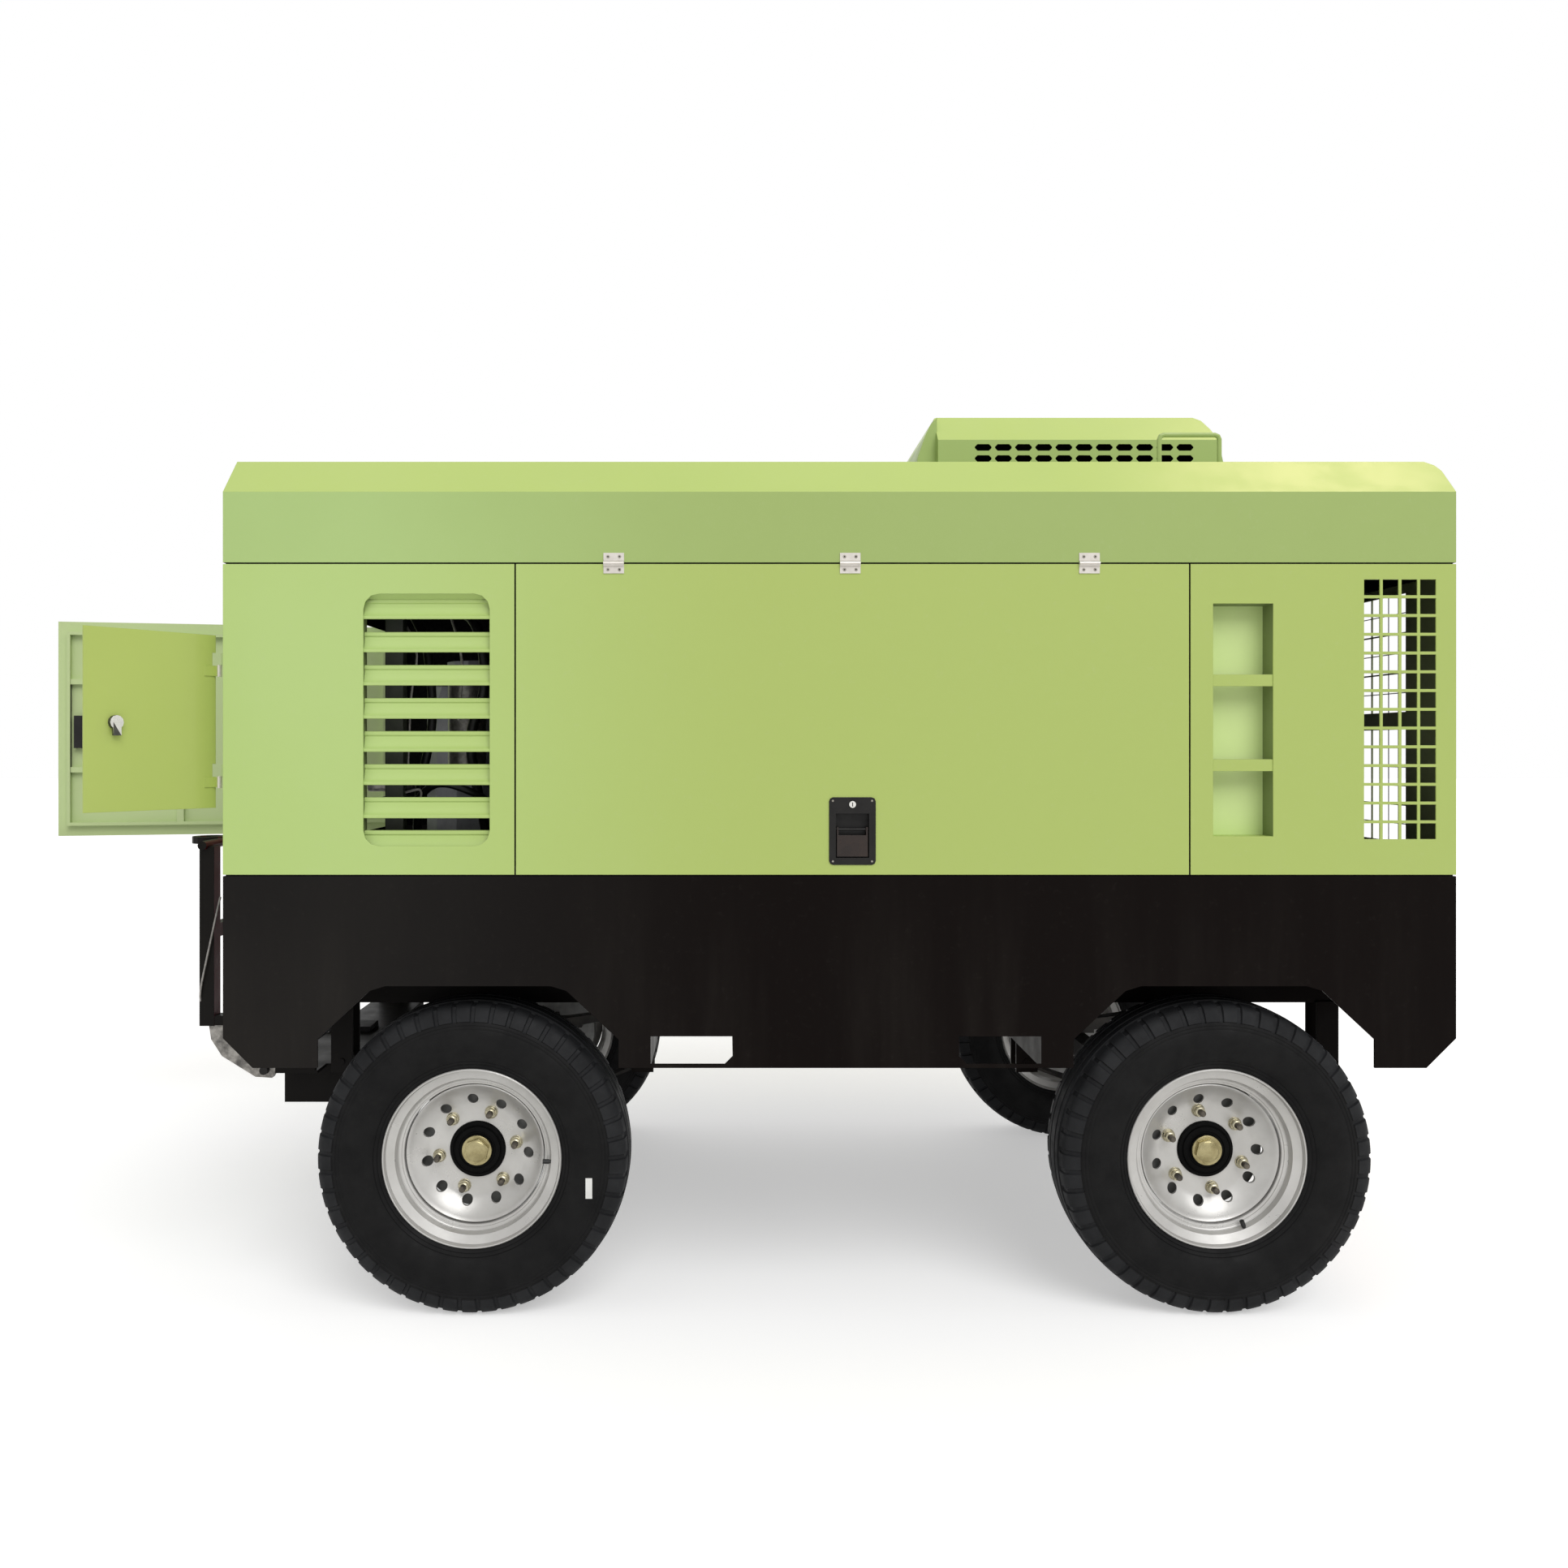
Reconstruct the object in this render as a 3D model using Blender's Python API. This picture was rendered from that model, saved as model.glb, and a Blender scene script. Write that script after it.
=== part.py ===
"""Towable diesel screw compressor in a sound-attenuating canopy, at rest with its end doors open."""

import math

import bmesh
import bpy
from mathutils import Matrix, Vector

# Driving dimensions, in metres. X runs along the machine, +X to the cooler end; the near side is -Y.
GAP = 0.0003  # between pieces that touch
BODY_LENGTH = 3.12
BODY_WIDTH = 1.80
SKIRT_BOTTOM = 0.618
SKIRT_TOP = 1.103
CHAMFER = 0.075  # on the lower corners of the skirts
ROOF_SEAM = 1.897
ROOF_FOLD = 2.076
ROOF_TOP = 2.173
ROOF_SLOPE = 0.097  # run of the sloped edge of the roof
SEAM = 0.004
SHEET = 0.004
SKIRT_SHEET = 0.006
ARCH_TOP = 0.825
ARCH_HALF = 0.381
ARCH_TOP_HALF = 0.229
ARCH_KNEE = 0.690
POCKET = (0.208, 0.070)
POCKETS_X = (-0.374, 0.4065)
POCKET_BOTTOM = 0.628

TYRE_RADIUS = 0.4025
WHEEL_Z = 0.3735  # heights are those of the body; the last lines bring the ground to zero
TYRE_WIDTH = 0.215
RIM_RADIUS = 0.2305
SEAT_RADIUS = 0.203
AXLE_X = (-0.940, 0.973)
WHEEL_Y = 0.770
WHEEL_SIDES = 18
DISC_FACE = -0.017  # from the middle of the wheel, outwards
VENTS = 11
VENT_RADIUS = 0.014
VENT_CIRCLE = 0.133
STUDS = 6
STUD_RADIUS = 0.008
NUT_RADIUS = 0.015
CAP_RADIUS = 0.037
HUB_SIDES = 12
STUD_CIRCLE = 0.1025
BORE_RADIUS = 0.0735
SPINDLE_RADIUS = 0.025

RAIL_Y = 0.520
RAIL_WIDTH = 0.060
RAIL_BOTTOM = 0.716
RAIL_TOP = 0.856
AXLE_SIZE = 0.060
SPRING_HALF = 0.420
SPRING_SAG = 0.095
SPRING_WIDTH = 0.056
LEAF = 0.010
LEAVES = 5
EYE_PIN = 0.009
KINGPIN_Y = 0.600
BOSS_RADIUS = 0.028
BOSS_HEIGHT = 0.110
KINGPIN_RADIUS = 0.012
STEER_ARM = 0.150
BEAM_X = (-1.549, -1.370)
BEAM_Z = (0.416, 0.526)
YOKE_X = -1.460
DRAWBAR_X = -1.660
DRAWBAR_Z = 0.470
DRAWBAR_HALF = 0.300
DRAWBAR_LEG_X = -1.830
DRAWBAR_TOP = 1.135

DOOR_X = (-0.8185, 0.884)
DOOR_RING = 0.030
HINGES_X = (-0.571, 0.027, 0.632)
HINGE_LEAF = 0.052
HINGE_RADIUS = 0.0045
LOUVRE_X = (-1.205, -0.885)
LOUVRE_Z = (1.179, 1.818)
LOUVRE_CORNER = 0.039
BLADES = 8
GRILLE_X = (1.327, 1.509)
GRILLE_Z = (1.197, 1.854)
GRILLE_COLUMNS = 4
GRILLE_ROWS = 14
GRILLE_HOLE = 0.040
RECESS_X = (0.945, 1.097)
RECESS_Z = (1.204, 1.793)
RECESS_DEPTH = 0.065
RUNGS_Z = (1.395, 1.610)
LATCH_SIZE = (0.118, 0.171)
LATCH_X = 0.0325
LATCH_Z = 1.2175
HOOD_X = (0.322, 1.144)
HOOD_HALF = 0.450
HOOD_FOLD = 2.314
HOOD_TOP = 2.400
COWL_HALF = 0.420
COWL_Z = (2.200, 2.270)
HOOD_SLOTS = 11
HOOD_SLOT = (0.048, 0.019)
HOOD_PITCH = 0.058
HOOD_ROWS = (2.228, 2.260, 2.292)
REAR_WINDOWS = ((1.169, 1.480), (1.524, 1.850))
REAR_HALF = 0.664
REAR_CELLS = (7, 3)
RAIL_GRIP_X = (0.852, 1.024)
RAIL_GRIP_Z = 2.262

END_DOOR_Y = (-0.325, 0.885)
END_DOOR_OPEN = 78
CONTROL_DOOR = (0.345, 0.443)
CONTROL_DOOR_Z = 1.4955
CONTROL_AXIS = (0.024, 0.860)  # proud of the end, and from the middle
CONTROL_DOOR_OPEN = 144

RADIATOR_X = (1.170, 1.250)
FAN_X = 1.060
FAN_Z = 1.400
FAN_RADIUS = 0.360
FAN_BLADES = 8
TANK_X, TANK_Y = -1.110, 0.450
TANK_RADIUS = 0.240
MANIFOLD_TOP = 1.540

END = BODY_LENGTH / 2
SIDE = BODY_WIDTH / 2
LIP_OUT = SIDE - SHEET - GAP
LIP_IN = LIP_OUT - SHEET
PANEL_Z = (SKIRT_TOP + SEAM, ROOF_SEAM - SEAM)
FLOOR_TOP = RAIL_TOP + GAP + 0.005
AXLE_BOTTOM = WHEEL_Z - AXLE_SIZE / 2
AXLE_TOP = WHEEL_Z + AXLE_SIZE / 2

GREEN = ((0.46, 0.60, 0.21), 0.45, 0.0)
BRIGHT = ((0.42, 0.52, 0.13), 0.45, 0.0)
BLACK = ((0.022, 0.020, 0.018), 0.5, 0.0)
STEEL = ((0.60, 0.60, 0.58), 0.35, 0.9)
DARK_STEEL = ((0.09, 0.09, 0.09), 0.5, 0.8)
RUBBER = ((0.018, 0.018, 0.018), 0.85, 0.0)
SILVER = ((0.62, 0.61, 0.58), 0.35, 0.6)
RED = ((0.16, 0.015, 0.02), 0.5, 0.0)
GREY = ((0.28, 0.29, 0.30), 0.5, 0.3)
PLASTIC = ((0.03, 0.03, 0.03), 0.55, 0.0)

for old in list(bpy.data.objects):
    bpy.data.objects.remove(old, do_unlink=True)

scene = bpy.context.scene
parts = bpy.data.collections.new("towable_compressor")
cutters = bpy.data.collections.new("cutters")
scene.collection.children.link(parts)
scene.collection.children.link(cutters)


def mesh_object(bm, name="shape"):
    bmesh.ops.remove_doubles(bm, verts=bm.verts, dist=1e-6)
    bmesh.ops.recalc_face_normals(bm, faces=bm.faces)
    mesh = bpy.data.meshes.new(name)
    bm.to_mesh(mesh)
    bm.free()
    obj = bpy.data.objects.new(name, mesh)
    cutters.objects.link(obj)
    obj.hide_render = True
    obj.display_type = "WIRE"
    return obj


def boxes(*spans):
    """Separate boxes in one mesh, each as (x0, x1, y0, y1, z0, z1)."""
    bm = bmesh.new()
    for x0, x1, y0, y1, z0, z1 in spans:
        made = bmesh.ops.create_cube(bm, size=1)["verts"]
        for v in made:
            v.co = Vector((
                x0 + (v.co.x + 0.5) * (x1 - x0),
                y0 + (v.co.y + 0.5) * (y1 - y0),
                z0 + (v.co.z + 0.5) * (z1 - z0),
            ))
    return mesh_object(bm)


def box(x0, x1, y0, y1, z0, z1):
    return boxes((x0, x1, y0, y1, z0, z1))


def placed(axis, a, b, along):
    return {"X": (along, a, b), "Y": (a, along, b), "Z": (a, b, along)}[axis]


def prisms(axis, outlines, start, end):
    """Flat outlines pushed along one axis; each outline lists the other two coordinates in XYZ order."""
    bm = bmesh.new()
    for outline in outlines:
        low = [bm.verts.new(placed(axis, a, b, start)) for a, b in outline]
        high = [bm.verts.new(placed(axis, a, b, end)) for a, b in outline]
        bm.faces.new(low)
        bm.faces.new(high)
        for i in range(len(low)):
            j = (i + 1) % len(low)
            bm.faces.new((low[i], low[j], high[j], high[i]))
    return mesh_object(bm)


def prism(axis, outline, start, end):
    return prisms(axis, [outline], start, end)


def circle(a, b, radius, sides=12, turn=0.0):
    return [
        (a + radius * math.cos(turn + 2 * math.pi * i / sides),
            b + radius * math.sin(turn + 2 * math.pi * i / sides))
        for i in range(sides)
    ]


def rod(axis, centre, radius, start, end, sides=12, turn=0.0):
    return prism(axis, circle(centre[0], centre[1], radius, sides, turn), start, end)


def lathe(profile, centre, outward, sides, turn=0.0):
    """A closed (radius, outward) profile turned about a line along Y; centre is (x, y, z)."""
    bm = bmesh.new()
    rings = []
    for i in range(sides):
        angle = turn + 2 * math.pi * i / sides
        rings.append([
            bm.verts.new((
                centre[0] + r * math.cos(angle),
                centre[1] + outward * t,
                centre[2] + r * math.sin(angle),
            ))
            for r, t in profile
        ])
    for i in range(sides):
        here, after = rings[i], rings[(i + 1) % sides]
        for j in range(len(profile)):
            k = (j + 1) % len(profile)
            if profile[j][0] == 0 and profile[k][0] == 0:
                continue
            corners = [here[j], here[k], after[k], after[j]]
            if profile[j][0] == 0:
                corners = [here[j], here[k], after[k]]
            elif profile[k][0] == 0:
                corners = [here[j], here[k], after[j]]
            bm.faces.new(corners)
    return mesh_object(bm)


def rounded(x0, x1, z0, z1, radius, steps=3):
    """A rectangle's outline with rounded corners."""
    points = []
    for cx, cz, first in ((x1 - radius, z1 - radius, 0), (x0 + radius, z1 - radius, 1),
        (x0 + radius, z0 + radius, 2), (x1 - radius, z0 + radius, 3)):
        for i in range(steps + 1):
            angle = (first + i / steps) * math.pi / 2
            points.append((cx + radius * math.cos(angle), cz + radius * math.sin(angle)))
    return points


def tube(points, radius, resolution=2):
    """A round bar bent through the points."""
    curve = bpy.data.curves.new("path", "CURVE")
    curve.dimensions = "3D"
    curve.bevel_depth = radius
    curve.bevel_resolution = resolution
    curve.use_fill_caps = True
    spline = curve.splines.new("POLY")
    spline.points.add(len(points) - 1)
    for point, at in zip(spline.points, points):
        point.co = (*at, 1)
    holder = bpy.data.objects.new("path", curve)
    cutters.objects.link(holder)
    bpy.context.view_layer.update()
    mesh = bpy.data.meshes.new_from_object(holder.evaluated_get(bpy.context.evaluated_depsgraph_get()))
    bpy.data.objects.remove(holder, do_unlink=True)
    bm = bmesh.new()
    bm.from_mesh(mesh)
    return mesh_object(bm)


def moved(obj, matrix):
    obj.data.transform(matrix)
    if matrix.determinant() < 0:
        obj.data.flip_normals()
    return obj


def material(name, look):
    colour, rough, metal = look
    made = bpy.data.materials.new(name)
    made.use_nodes = True
    shader = made.node_tree.nodes["Principled BSDF"]
    shader.inputs["Base Color"].default_value = (*colour, 1)
    shader.inputs["Roughness"].default_value = rough
    shader.inputs["Metallic"].default_value = metal
    return made


def part(name, look, base, steps=(), origin=None):
    """Names a piece, and joins (+) or cuts (-) the other shapes in turn; origin is a moving piece's axis."""
    origin = Vector(origin or (0, 0, 0))
    cutters.objects.unlink(base)
    parts.objects.link(base)
    base.name = base.data.name = name
    base.hide_render = False
    base.display_type = "TEXTURED"
    base.data.materials.append(material(name, look))
    base.data.transform(Matrix.Translation(-origin))
    base.location = origin
    bpy.context.view_layer.update()
    for number, (sign, other) in enumerate(steps):
        other.name = other.data.name = f"{name}_{number}"
        other.parent = base
        other.matrix_parent_inverse = base.matrix_world.inverted()
        change = base.modifiers.new(f"{'join' if sign == '+' else 'cut'}_{number}", "BOOLEAN")
        change.operation = "UNION" if sign == "+" else "DIFFERENCE"
        change.solver = "EXACT"
        change.object = other
    return base


def mirrored(x0, x1, y0, y1, z0, z1, side):
    """A box drawn for the near side, on the side asked for."""
    return (x0, x1, y0, y1, z0, z1) if side < 0 else (x0, x1, -y1, -y0, z0, z1)


# Base: skirts, floor, rails.


def arch(x):
    return [
        (x - ARCH_HALF, SKIRT_BOTTOM - 0.01),
        (x - ARCH_HALF, ARCH_KNEE),
        (x - ARCH_TOP_HALF - 0.02, ARCH_TOP - 0.012),
        (x - ARCH_TOP_HALF + 0.02, ARCH_TOP),
        (x + ARCH_TOP_HALF - 0.02, ARCH_TOP),
        (x + ARCH_TOP_HALF + 0.02, ARCH_TOP - 0.012),
        (x + ARCH_HALF, ARCH_KNEE),
        (x + ARCH_HALF, SKIRT_BOTTOM - 0.01),
    ]


def pocket(x, turned):
    w, h = POCKET[0] / 2, POCKET[1]
    outline = [(x - w, POCKET_BOTTOM), (x + w - 0.02, POCKET_BOTTOM), (x + w, POCKET_BOTTOM + 0.02),
               (x + w, POCKET_BOTTOM + h), (x - w, POCKET_BOTTOM + h)]
    return [(2 * x - a, b) for a, b in outline] if turned else outline


def skirt(name, side):
    outline = [
        (-END, SKIRT_BOTTOM + CHAMFER), (-END + CHAMFER, SKIRT_BOTTOM),
        (END - CHAMFER, SKIRT_BOTTOM), (END, SKIRT_BOTTOM + CHAMFER),
        (END, SKIRT_TOP), (-END, SKIRT_TOP),
    ]
    holes = [arch(x) for x in AXLE_X] + [pocket(POCKETS_X[0], False), pocket(POCKETS_X[1], True)]
    outer, inner = side * SIDE, side * (SIDE - SKIRT_SHEET)
    guides = []
    top = POCKET_BOTTOM + POCKET[1]
    for x in POCKETS_X:
        left, right = x - POCKET[0] / 2 - SHEET, x + POCKET[0] / 2 + SHEET
        depth = (-SIDE + 0.002, -RAIL_Y - RAIL_WIDTH / 2 - GAP)
        guides.append(mirrored(left, left + SHEET, *depth, SKIRT_BOTTOM, top + SHEET, side))
        guides.append(mirrored(right - SHEET, right, *depth, SKIRT_BOTTOM, top + SHEET, side))
        guides.append(mirrored(left + 0.001, right - 0.001, *depth, top, top + 0.003, side))
    lip = mirrored(-END + 0.006, END - 0.006, -LIP_OUT, -LIP_IN + 0.002, 1.06, SKIRT_TOP + 0.024, side)
    reach = (min(outer, inner) - 0.01, max(outer, inner) + 0.01)
    return part(name, BLACK, prism("Y", outline, outer, inner), [
        ("+", boxes(lip)),
        ("-", prisms("Y", holes, *reach)),
        *[("+", boxes(g)) for g in guides],
    ])


skirt("skirt_near", -1)
skirt("skirt_far", 1)

tray_y = SIDE - SKIRT_SHEET - GAP
part("floor_tray", BLACK, box(-END, END, -tray_y, tray_y, RAIL_TOP + GAP, FLOOR_TOP), [
    ("+", box(-END, -END + SHEET, -tray_y, tray_y, 0.70, SKIRT_TOP)),
    ("+", box(END - SHEET, END, -tray_y, tray_y, 0.70, SKIRT_TOP)),
    ("+", box(-END + SHEET - 0.001, -END + 0.008, -0.87, 0.87, 1.06, SKIRT_TOP + 0.024)),
    ("+", box(END - 0.008, END - SHEET + 0.001, -0.87, 0.87, 1.06, SKIRT_TOP + 0.024)),
    ("-", box(-END - 0.01, -END + SHEET + GAP, -tray_y, tray_y, SKIRT_TOP, SKIRT_TOP + 0.05)),
    ("-", box(END - SHEET - GAP, END + 0.01, -tray_y, tray_y, SKIRT_TOP, SKIRT_TOP + 0.05)),
])


def spring_height(x):
    return AXLE_TOP + GAP + LEAF * LEAVES + SPRING_SAG * (x / SPRING_HALF) ** 2


EYE_Z = spring_height(SPRING_HALF) + 0.004
EYE_RADIUS = EYE_PIN + GAP + LEAF


def rail(name, side):
    y0, y1 = side * RAIL_Y - RAIL_WIDTH / 2, side * RAIL_Y + RAIL_WIDTH / 2
    end = END - SHEET - GAP
    web = 0.008
    inside = (y0 - 0.01, y1 - web) if side > 0 else (y0 + web, y1 + 0.01)
    steps = [("-", box(-end - 0.01, end + 0.01, *inside, RAIL_BOTTOM + web, RAIL_TOP - web))]
    for axle in AXLE_X:
        for way in (-1, 1):
            x = axle + way * SPRING_HALF
            wall = SPRING_WIDTH / 2 + 0.002
            steps.append(("+", boxes(
                (x - 0.03, x + 0.03, side * RAIL_Y - wall - 0.008, side * RAIL_Y - wall, EYE_Z - 0.03,
                    RAIL_BOTTOM + 0.004),
                (x - 0.03, x + 0.03, side * RAIL_Y + wall, side * RAIL_Y + wall + 0.008, EYE_Z - 0.03,
                    RAIL_BOTTOM + 0.004),
            )))
            steps.append(("+", rod("Y", (x, EYE_Z), EYE_PIN, side * RAIL_Y - wall - 0.012,
                side * RAIL_Y + wall + 0.012, 10)))
    return part(name, BLACK, box(-end, end, y0, y1, RAIL_BOTTOM, RAIL_TOP), steps)


rail("rail_near", -1)
rail("rail_far", 1)

leg = [(BEAM_X[0], BEAM_Z[1] - 0.004), (-1.436, BEAM_Z[1] - 0.004), (-1.436, 0.614),
    (-1.395, RAIL_BOTTOM - GAP),
       (BEAM_X[0], RAIL_BOTTOM - GAP)]
part("front_beam", BLACK, box(*BEAM_X, -0.470, 0.470, *BEAM_Z), [
    ("+", box(BEAM_X[0], BEAM_X[1] - 0.06, -0.55, 0.55, BEAM_Z[1] - 0.008, BEAM_Z[1])),
    ("+", prism("Y", leg, -0.550, -0.540)),
    ("+", prism("Y", leg, 0.540, 0.550)),
    ("-", rod("Z", (YOKE_X, 0), 0.016, BEAM_Z[0] - 0.01, BEAM_Z[1] + 0.01)),
])

# Axles, springs, steering.


def spring(name, axle, side):
    half = SPRING_HALF
    top = [(half * i / 5, spring_height(half * i / 5)) for i in range(-5, 6)]
    below = []
    for leaf in range(1, LEAVES + 1):
        reach = half - 0.005 if leaf == 1 else half * (1 - 0.17 * leaf)
        after = half * (1 - 0.17 * (leaf + 1)) if leaf < LEAVES else 0.0
        for x in (reach, after):
            below.append((x, AXLE_TOP + GAP if leaf == LEAVES else spring_height(x) - leaf * LEAF))
    right = [(x, z) for x, z in below if x > 0.01]
    outline = top + right + [(-x, z) for x, z in reversed(right)]
    eyes = [circle(axle + way * half, EYE_Z, EYE_RADIUS, 10) for way in (-1, 1)]
    pins = [circle(axle + way * half, EYE_Z, EYE_PIN + 2 * GAP, 10) for way in (-1, 1)]
    y = (side * RAIL_Y - SPRING_WIDTH / 2, side * RAIL_Y + SPRING_WIDTH / 2)
    return part(name, DARK_STEEL, prism("Y", [(axle + x, z) for x, z in outline], *y), [
        ("+", prisms("Y", eyes, *y)),
        ("-", prisms("Y", pins, y[0] - 0.01, y[1] + 0.01)),
    ])


spring("spring_front_near", AXLE_X[0], -1)
spring("spring_front_far", AXLE_X[0], 1)
spring("spring_rear_near", AXLE_X[1], -1)
spring("spring_rear_far", AXLE_X[1], 1)

HUB_INNER = -0.100
SPINDLE_END = WHEEL_Y - 0.012
half_axle = AXLE_SIZE / 2
part("axle_rear", BLACK, box(AXLE_X[1] - half_axle, AXLE_X[1] + half_axle, -0.655, 0.655, AXLE_BOTTOM,
    AXLE_TOP), [
    ("+", rod("Y", (AXLE_X[1], WHEEL_Z), SPINDLE_RADIUS, -SPINDLE_END, SPINDLE_END, 16)),
])
boss_z = (WHEEL_Z - BOSS_HEIGHT / 2, WHEEL_Z + BOSS_HEIGHT / 2)
part("axle_front", BLACK, box(AXLE_X[0] - half_axle, AXLE_X[0] + half_axle, -0.575, 0.575, AXLE_BOTTOM,
    AXLE_TOP), [
    ("+", prisms("Z", [circle(AXLE_X[0], y, BOSS_RADIUS, 16) for y in (-KINGPIN_Y, KINGPIN_Y)], *boss_z)),
    ("-", prisms("Z", [circle(AXLE_X[0], y, KINGPIN_RADIUS + 0.0006, 16) for y in (-KINGPIN_Y, KINGPIN_Y)],
                 boss_z[0] - 0.01, boss_z[1] + 0.01)),
])

ARM_PIN_Y = 0.585
ROD_Z = boss_z[0] - 0.012


def knuckle(name, side):
    x = AXLE_X[0]
    web = (-(KINGPIN_Y + BOSS_RADIUS + 0.020), -(KINGPIN_Y + BOSS_RADIUS + 0.0006))
    arm_y = (-KINGPIN_Y - 0.04, -KINGPIN_Y + 0.028)
    upper = (boss_z[1] + GAP, boss_z[1] + 0.020)
    lower = (boss_z[0] - 0.020, boss_z[0] - GAP)
    spans = [
        mirrored(x - 0.032, x + 0.032, *arm_y, *upper, side),
        mirrored(x - 0.032, x + 0.032, *arm_y, *lower, side),
        mirrored(x - STEER_ARM - 0.016, x, -ARM_PIN_Y - 0.014, -ARM_PIN_Y + 0.014, *lower, side),
    ]
    spindle = sorted((side * (-web[1] + 0.002), side * SPINDLE_END))
    return part(name, BLACK, boxes(mirrored(x - 0.034, x + 0.034, *web, lower[0], upper[1], side)), [
        *[("+", boxes(s)) for s in spans],
        ("+", rod("Y", (x, WHEEL_Z), SPINDLE_RADIUS, *spindle, 16)),
        ("+", rod("Z", (x, side * KINGPIN_Y), KINGPIN_RADIUS, lower[1] - 0.002, upper[0] + 0.002, 16)),
        ("+", rod("Z", (x - STEER_ARM, side * ARM_PIN_Y), 0.008, lower[0] + 0.002, lower[1] + 0.034, 10)),
    ], (x, side * KINGPIN_Y, WHEEL_Z))


knuckle("knuckle_near", -1)
knuckle("knuckle_far", 1)
rod_x = AXLE_X[0] - STEER_ARM
eye_z = (boss_z[0], boss_z[0] + 0.022)
part("tie_rod", BLACK, rod("Y", (rod_x, sum(eye_z) / 2), 0.010, -ARM_PIN_Y + 0.018, ARM_PIN_Y - 0.018, 10), [
    ("+", prisms("Z", [circle(rod_x, y, 0.024, 12) for y in (-ARM_PIN_Y, ARM_PIN_Y)], *eye_z)),
    ("-", prisms("Z", [circle(rod_x, y, 0.0130, 12) for y in (-ARM_PIN_Y, ARM_PIN_Y)], eye_z[0] - 0.01,
        eye_z[1] + 0.01)),
], (rod_x, 0, sum(eye_z) / 2))

yoke_front = DRAWBAR_X + 0.045
yoke_z = (BEAM_Z[0] - 0.016, BEAM_Z[1] + 0.016)
part("steer_yoke", BLACK, box(yoke_front, yoke_front + 0.018, -0.09, 0.09, *yoke_z), [
    ("+", box(yoke_front, YOKE_X + 0.04, -0.05, 0.05, yoke_z[0], BEAM_Z[0] - GAP)),
    ("+", box(yoke_front, YOKE_X + 0.04, -0.05, 0.05, BEAM_Z[1] + GAP, yoke_z[1])),
    ("+", rod("Z", (YOKE_X, 0), 0.015, yoke_z[0] + 0.004, yoke_z[1] - 0.004, 16)),
    ("+", rod("Y", (DRAWBAR_X, DRAWBAR_Z), 0.018, -DRAWBAR_HALF + 0.03, DRAWBAR_HALF - 0.03)),
    ("+", box(DRAWBAR_X, yoke_front + 0.005, -0.08, -0.06, DRAWBAR_Z - 0.016, DRAWBAR_Z + 0.016)),
    ("+", box(DRAWBAR_X, yoke_front + 0.005, 0.06, 0.08, DRAWBAR_Z - 0.016, DRAWBAR_Z + 0.016)),
    ("+", rod("Y", (DRAWBAR_X, DRAWBAR_Z), 0.0125, -DRAWBAR_HALF - 0.03, DRAWBAR_HALF + 0.03)),
], (YOKE_X, 0, sum(BEAM_Z) / 2))

leg_x = (DRAWBAR_LEG_X - 0.022, DRAWBAR_LEG_X + 0.022)
leg_low = 0.602
hook = [
    (leg_x[0] + 0.022, leg_low + 0.01), (leg_x[0] + 0.030, 0.560), (leg_x[0] + 0.062, 0.510),
        (DRAWBAR_X - 0.03, 0.448),
    (DRAWBAR_X + 0.02, 0.445), (DRAWBAR_X + 0.034, 0.470), (DRAWBAR_X + 0.02, 0.498),
        (DRAWBAR_X - 0.06, 0.530),
    (leg_x[1] + 0.035, 0.575), (leg_x[1] + 0.030, leg_low + 0.01),
]
steps = []
legs = []
for side in (-1, 1):
    y = side * DRAWBAR_HALF
    legs.append((*leg_x, y - 0.024, y + 0.024, leg_low, DRAWBAR_TOP))
    steps.append(("+", box(leg_x[0] + 0.004, leg_x[1] + 0.055, y - 0.023, y + 0.023, leg_low + 0.002,
        leg_low + 0.03)))
    steps.append(("+", prism("Y", hook, y - 0.012, y + 0.012)))
    steps.append(("-", rod("Y", (DRAWBAR_X, DRAWBAR_Z), 0.0130, y - 0.03, y + 0.03)))
cross = (DRAWBAR_LEG_X - 0.008, DRAWBAR_TOP + 0.004)
steps.append(("+", rod("Y", cross, 0.0135, -DRAWBAR_HALF - 0.04, DRAWBAR_HALF + 0.04)))
steps.append(("+", box(leg_x[0] + 0.006, leg_x[1] - 0.006, -DRAWBAR_HALF, DRAWBAR_HALF, 0.86, 0.90)))
steps.append(("+", box(leg_x[0] - 0.055, leg_x[0] + 0.03, -0.022, 0.022, DRAWBAR_TOP - 0.01,
    DRAWBAR_TOP + 0.008)))
steps.append(("+", rod("Z", (leg_x[0] - 0.095, 0), 0.055, DRAWBAR_TOP - 0.012, DRAWBAR_TOP + 0.010, 16)))
steps.append(("-", rod("Z", (leg_x[0] - 0.095, 0), 0.033, DRAWBAR_TOP - 0.05, DRAWBAR_TOP + 0.05, 16)))
steps.append(("+", boxes(legs[1])))
part("drawbar", BLACK, boxes(legs[0]), steps, (DRAWBAR_X, 0, DRAWBAR_Z))

# Wheels.

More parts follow.
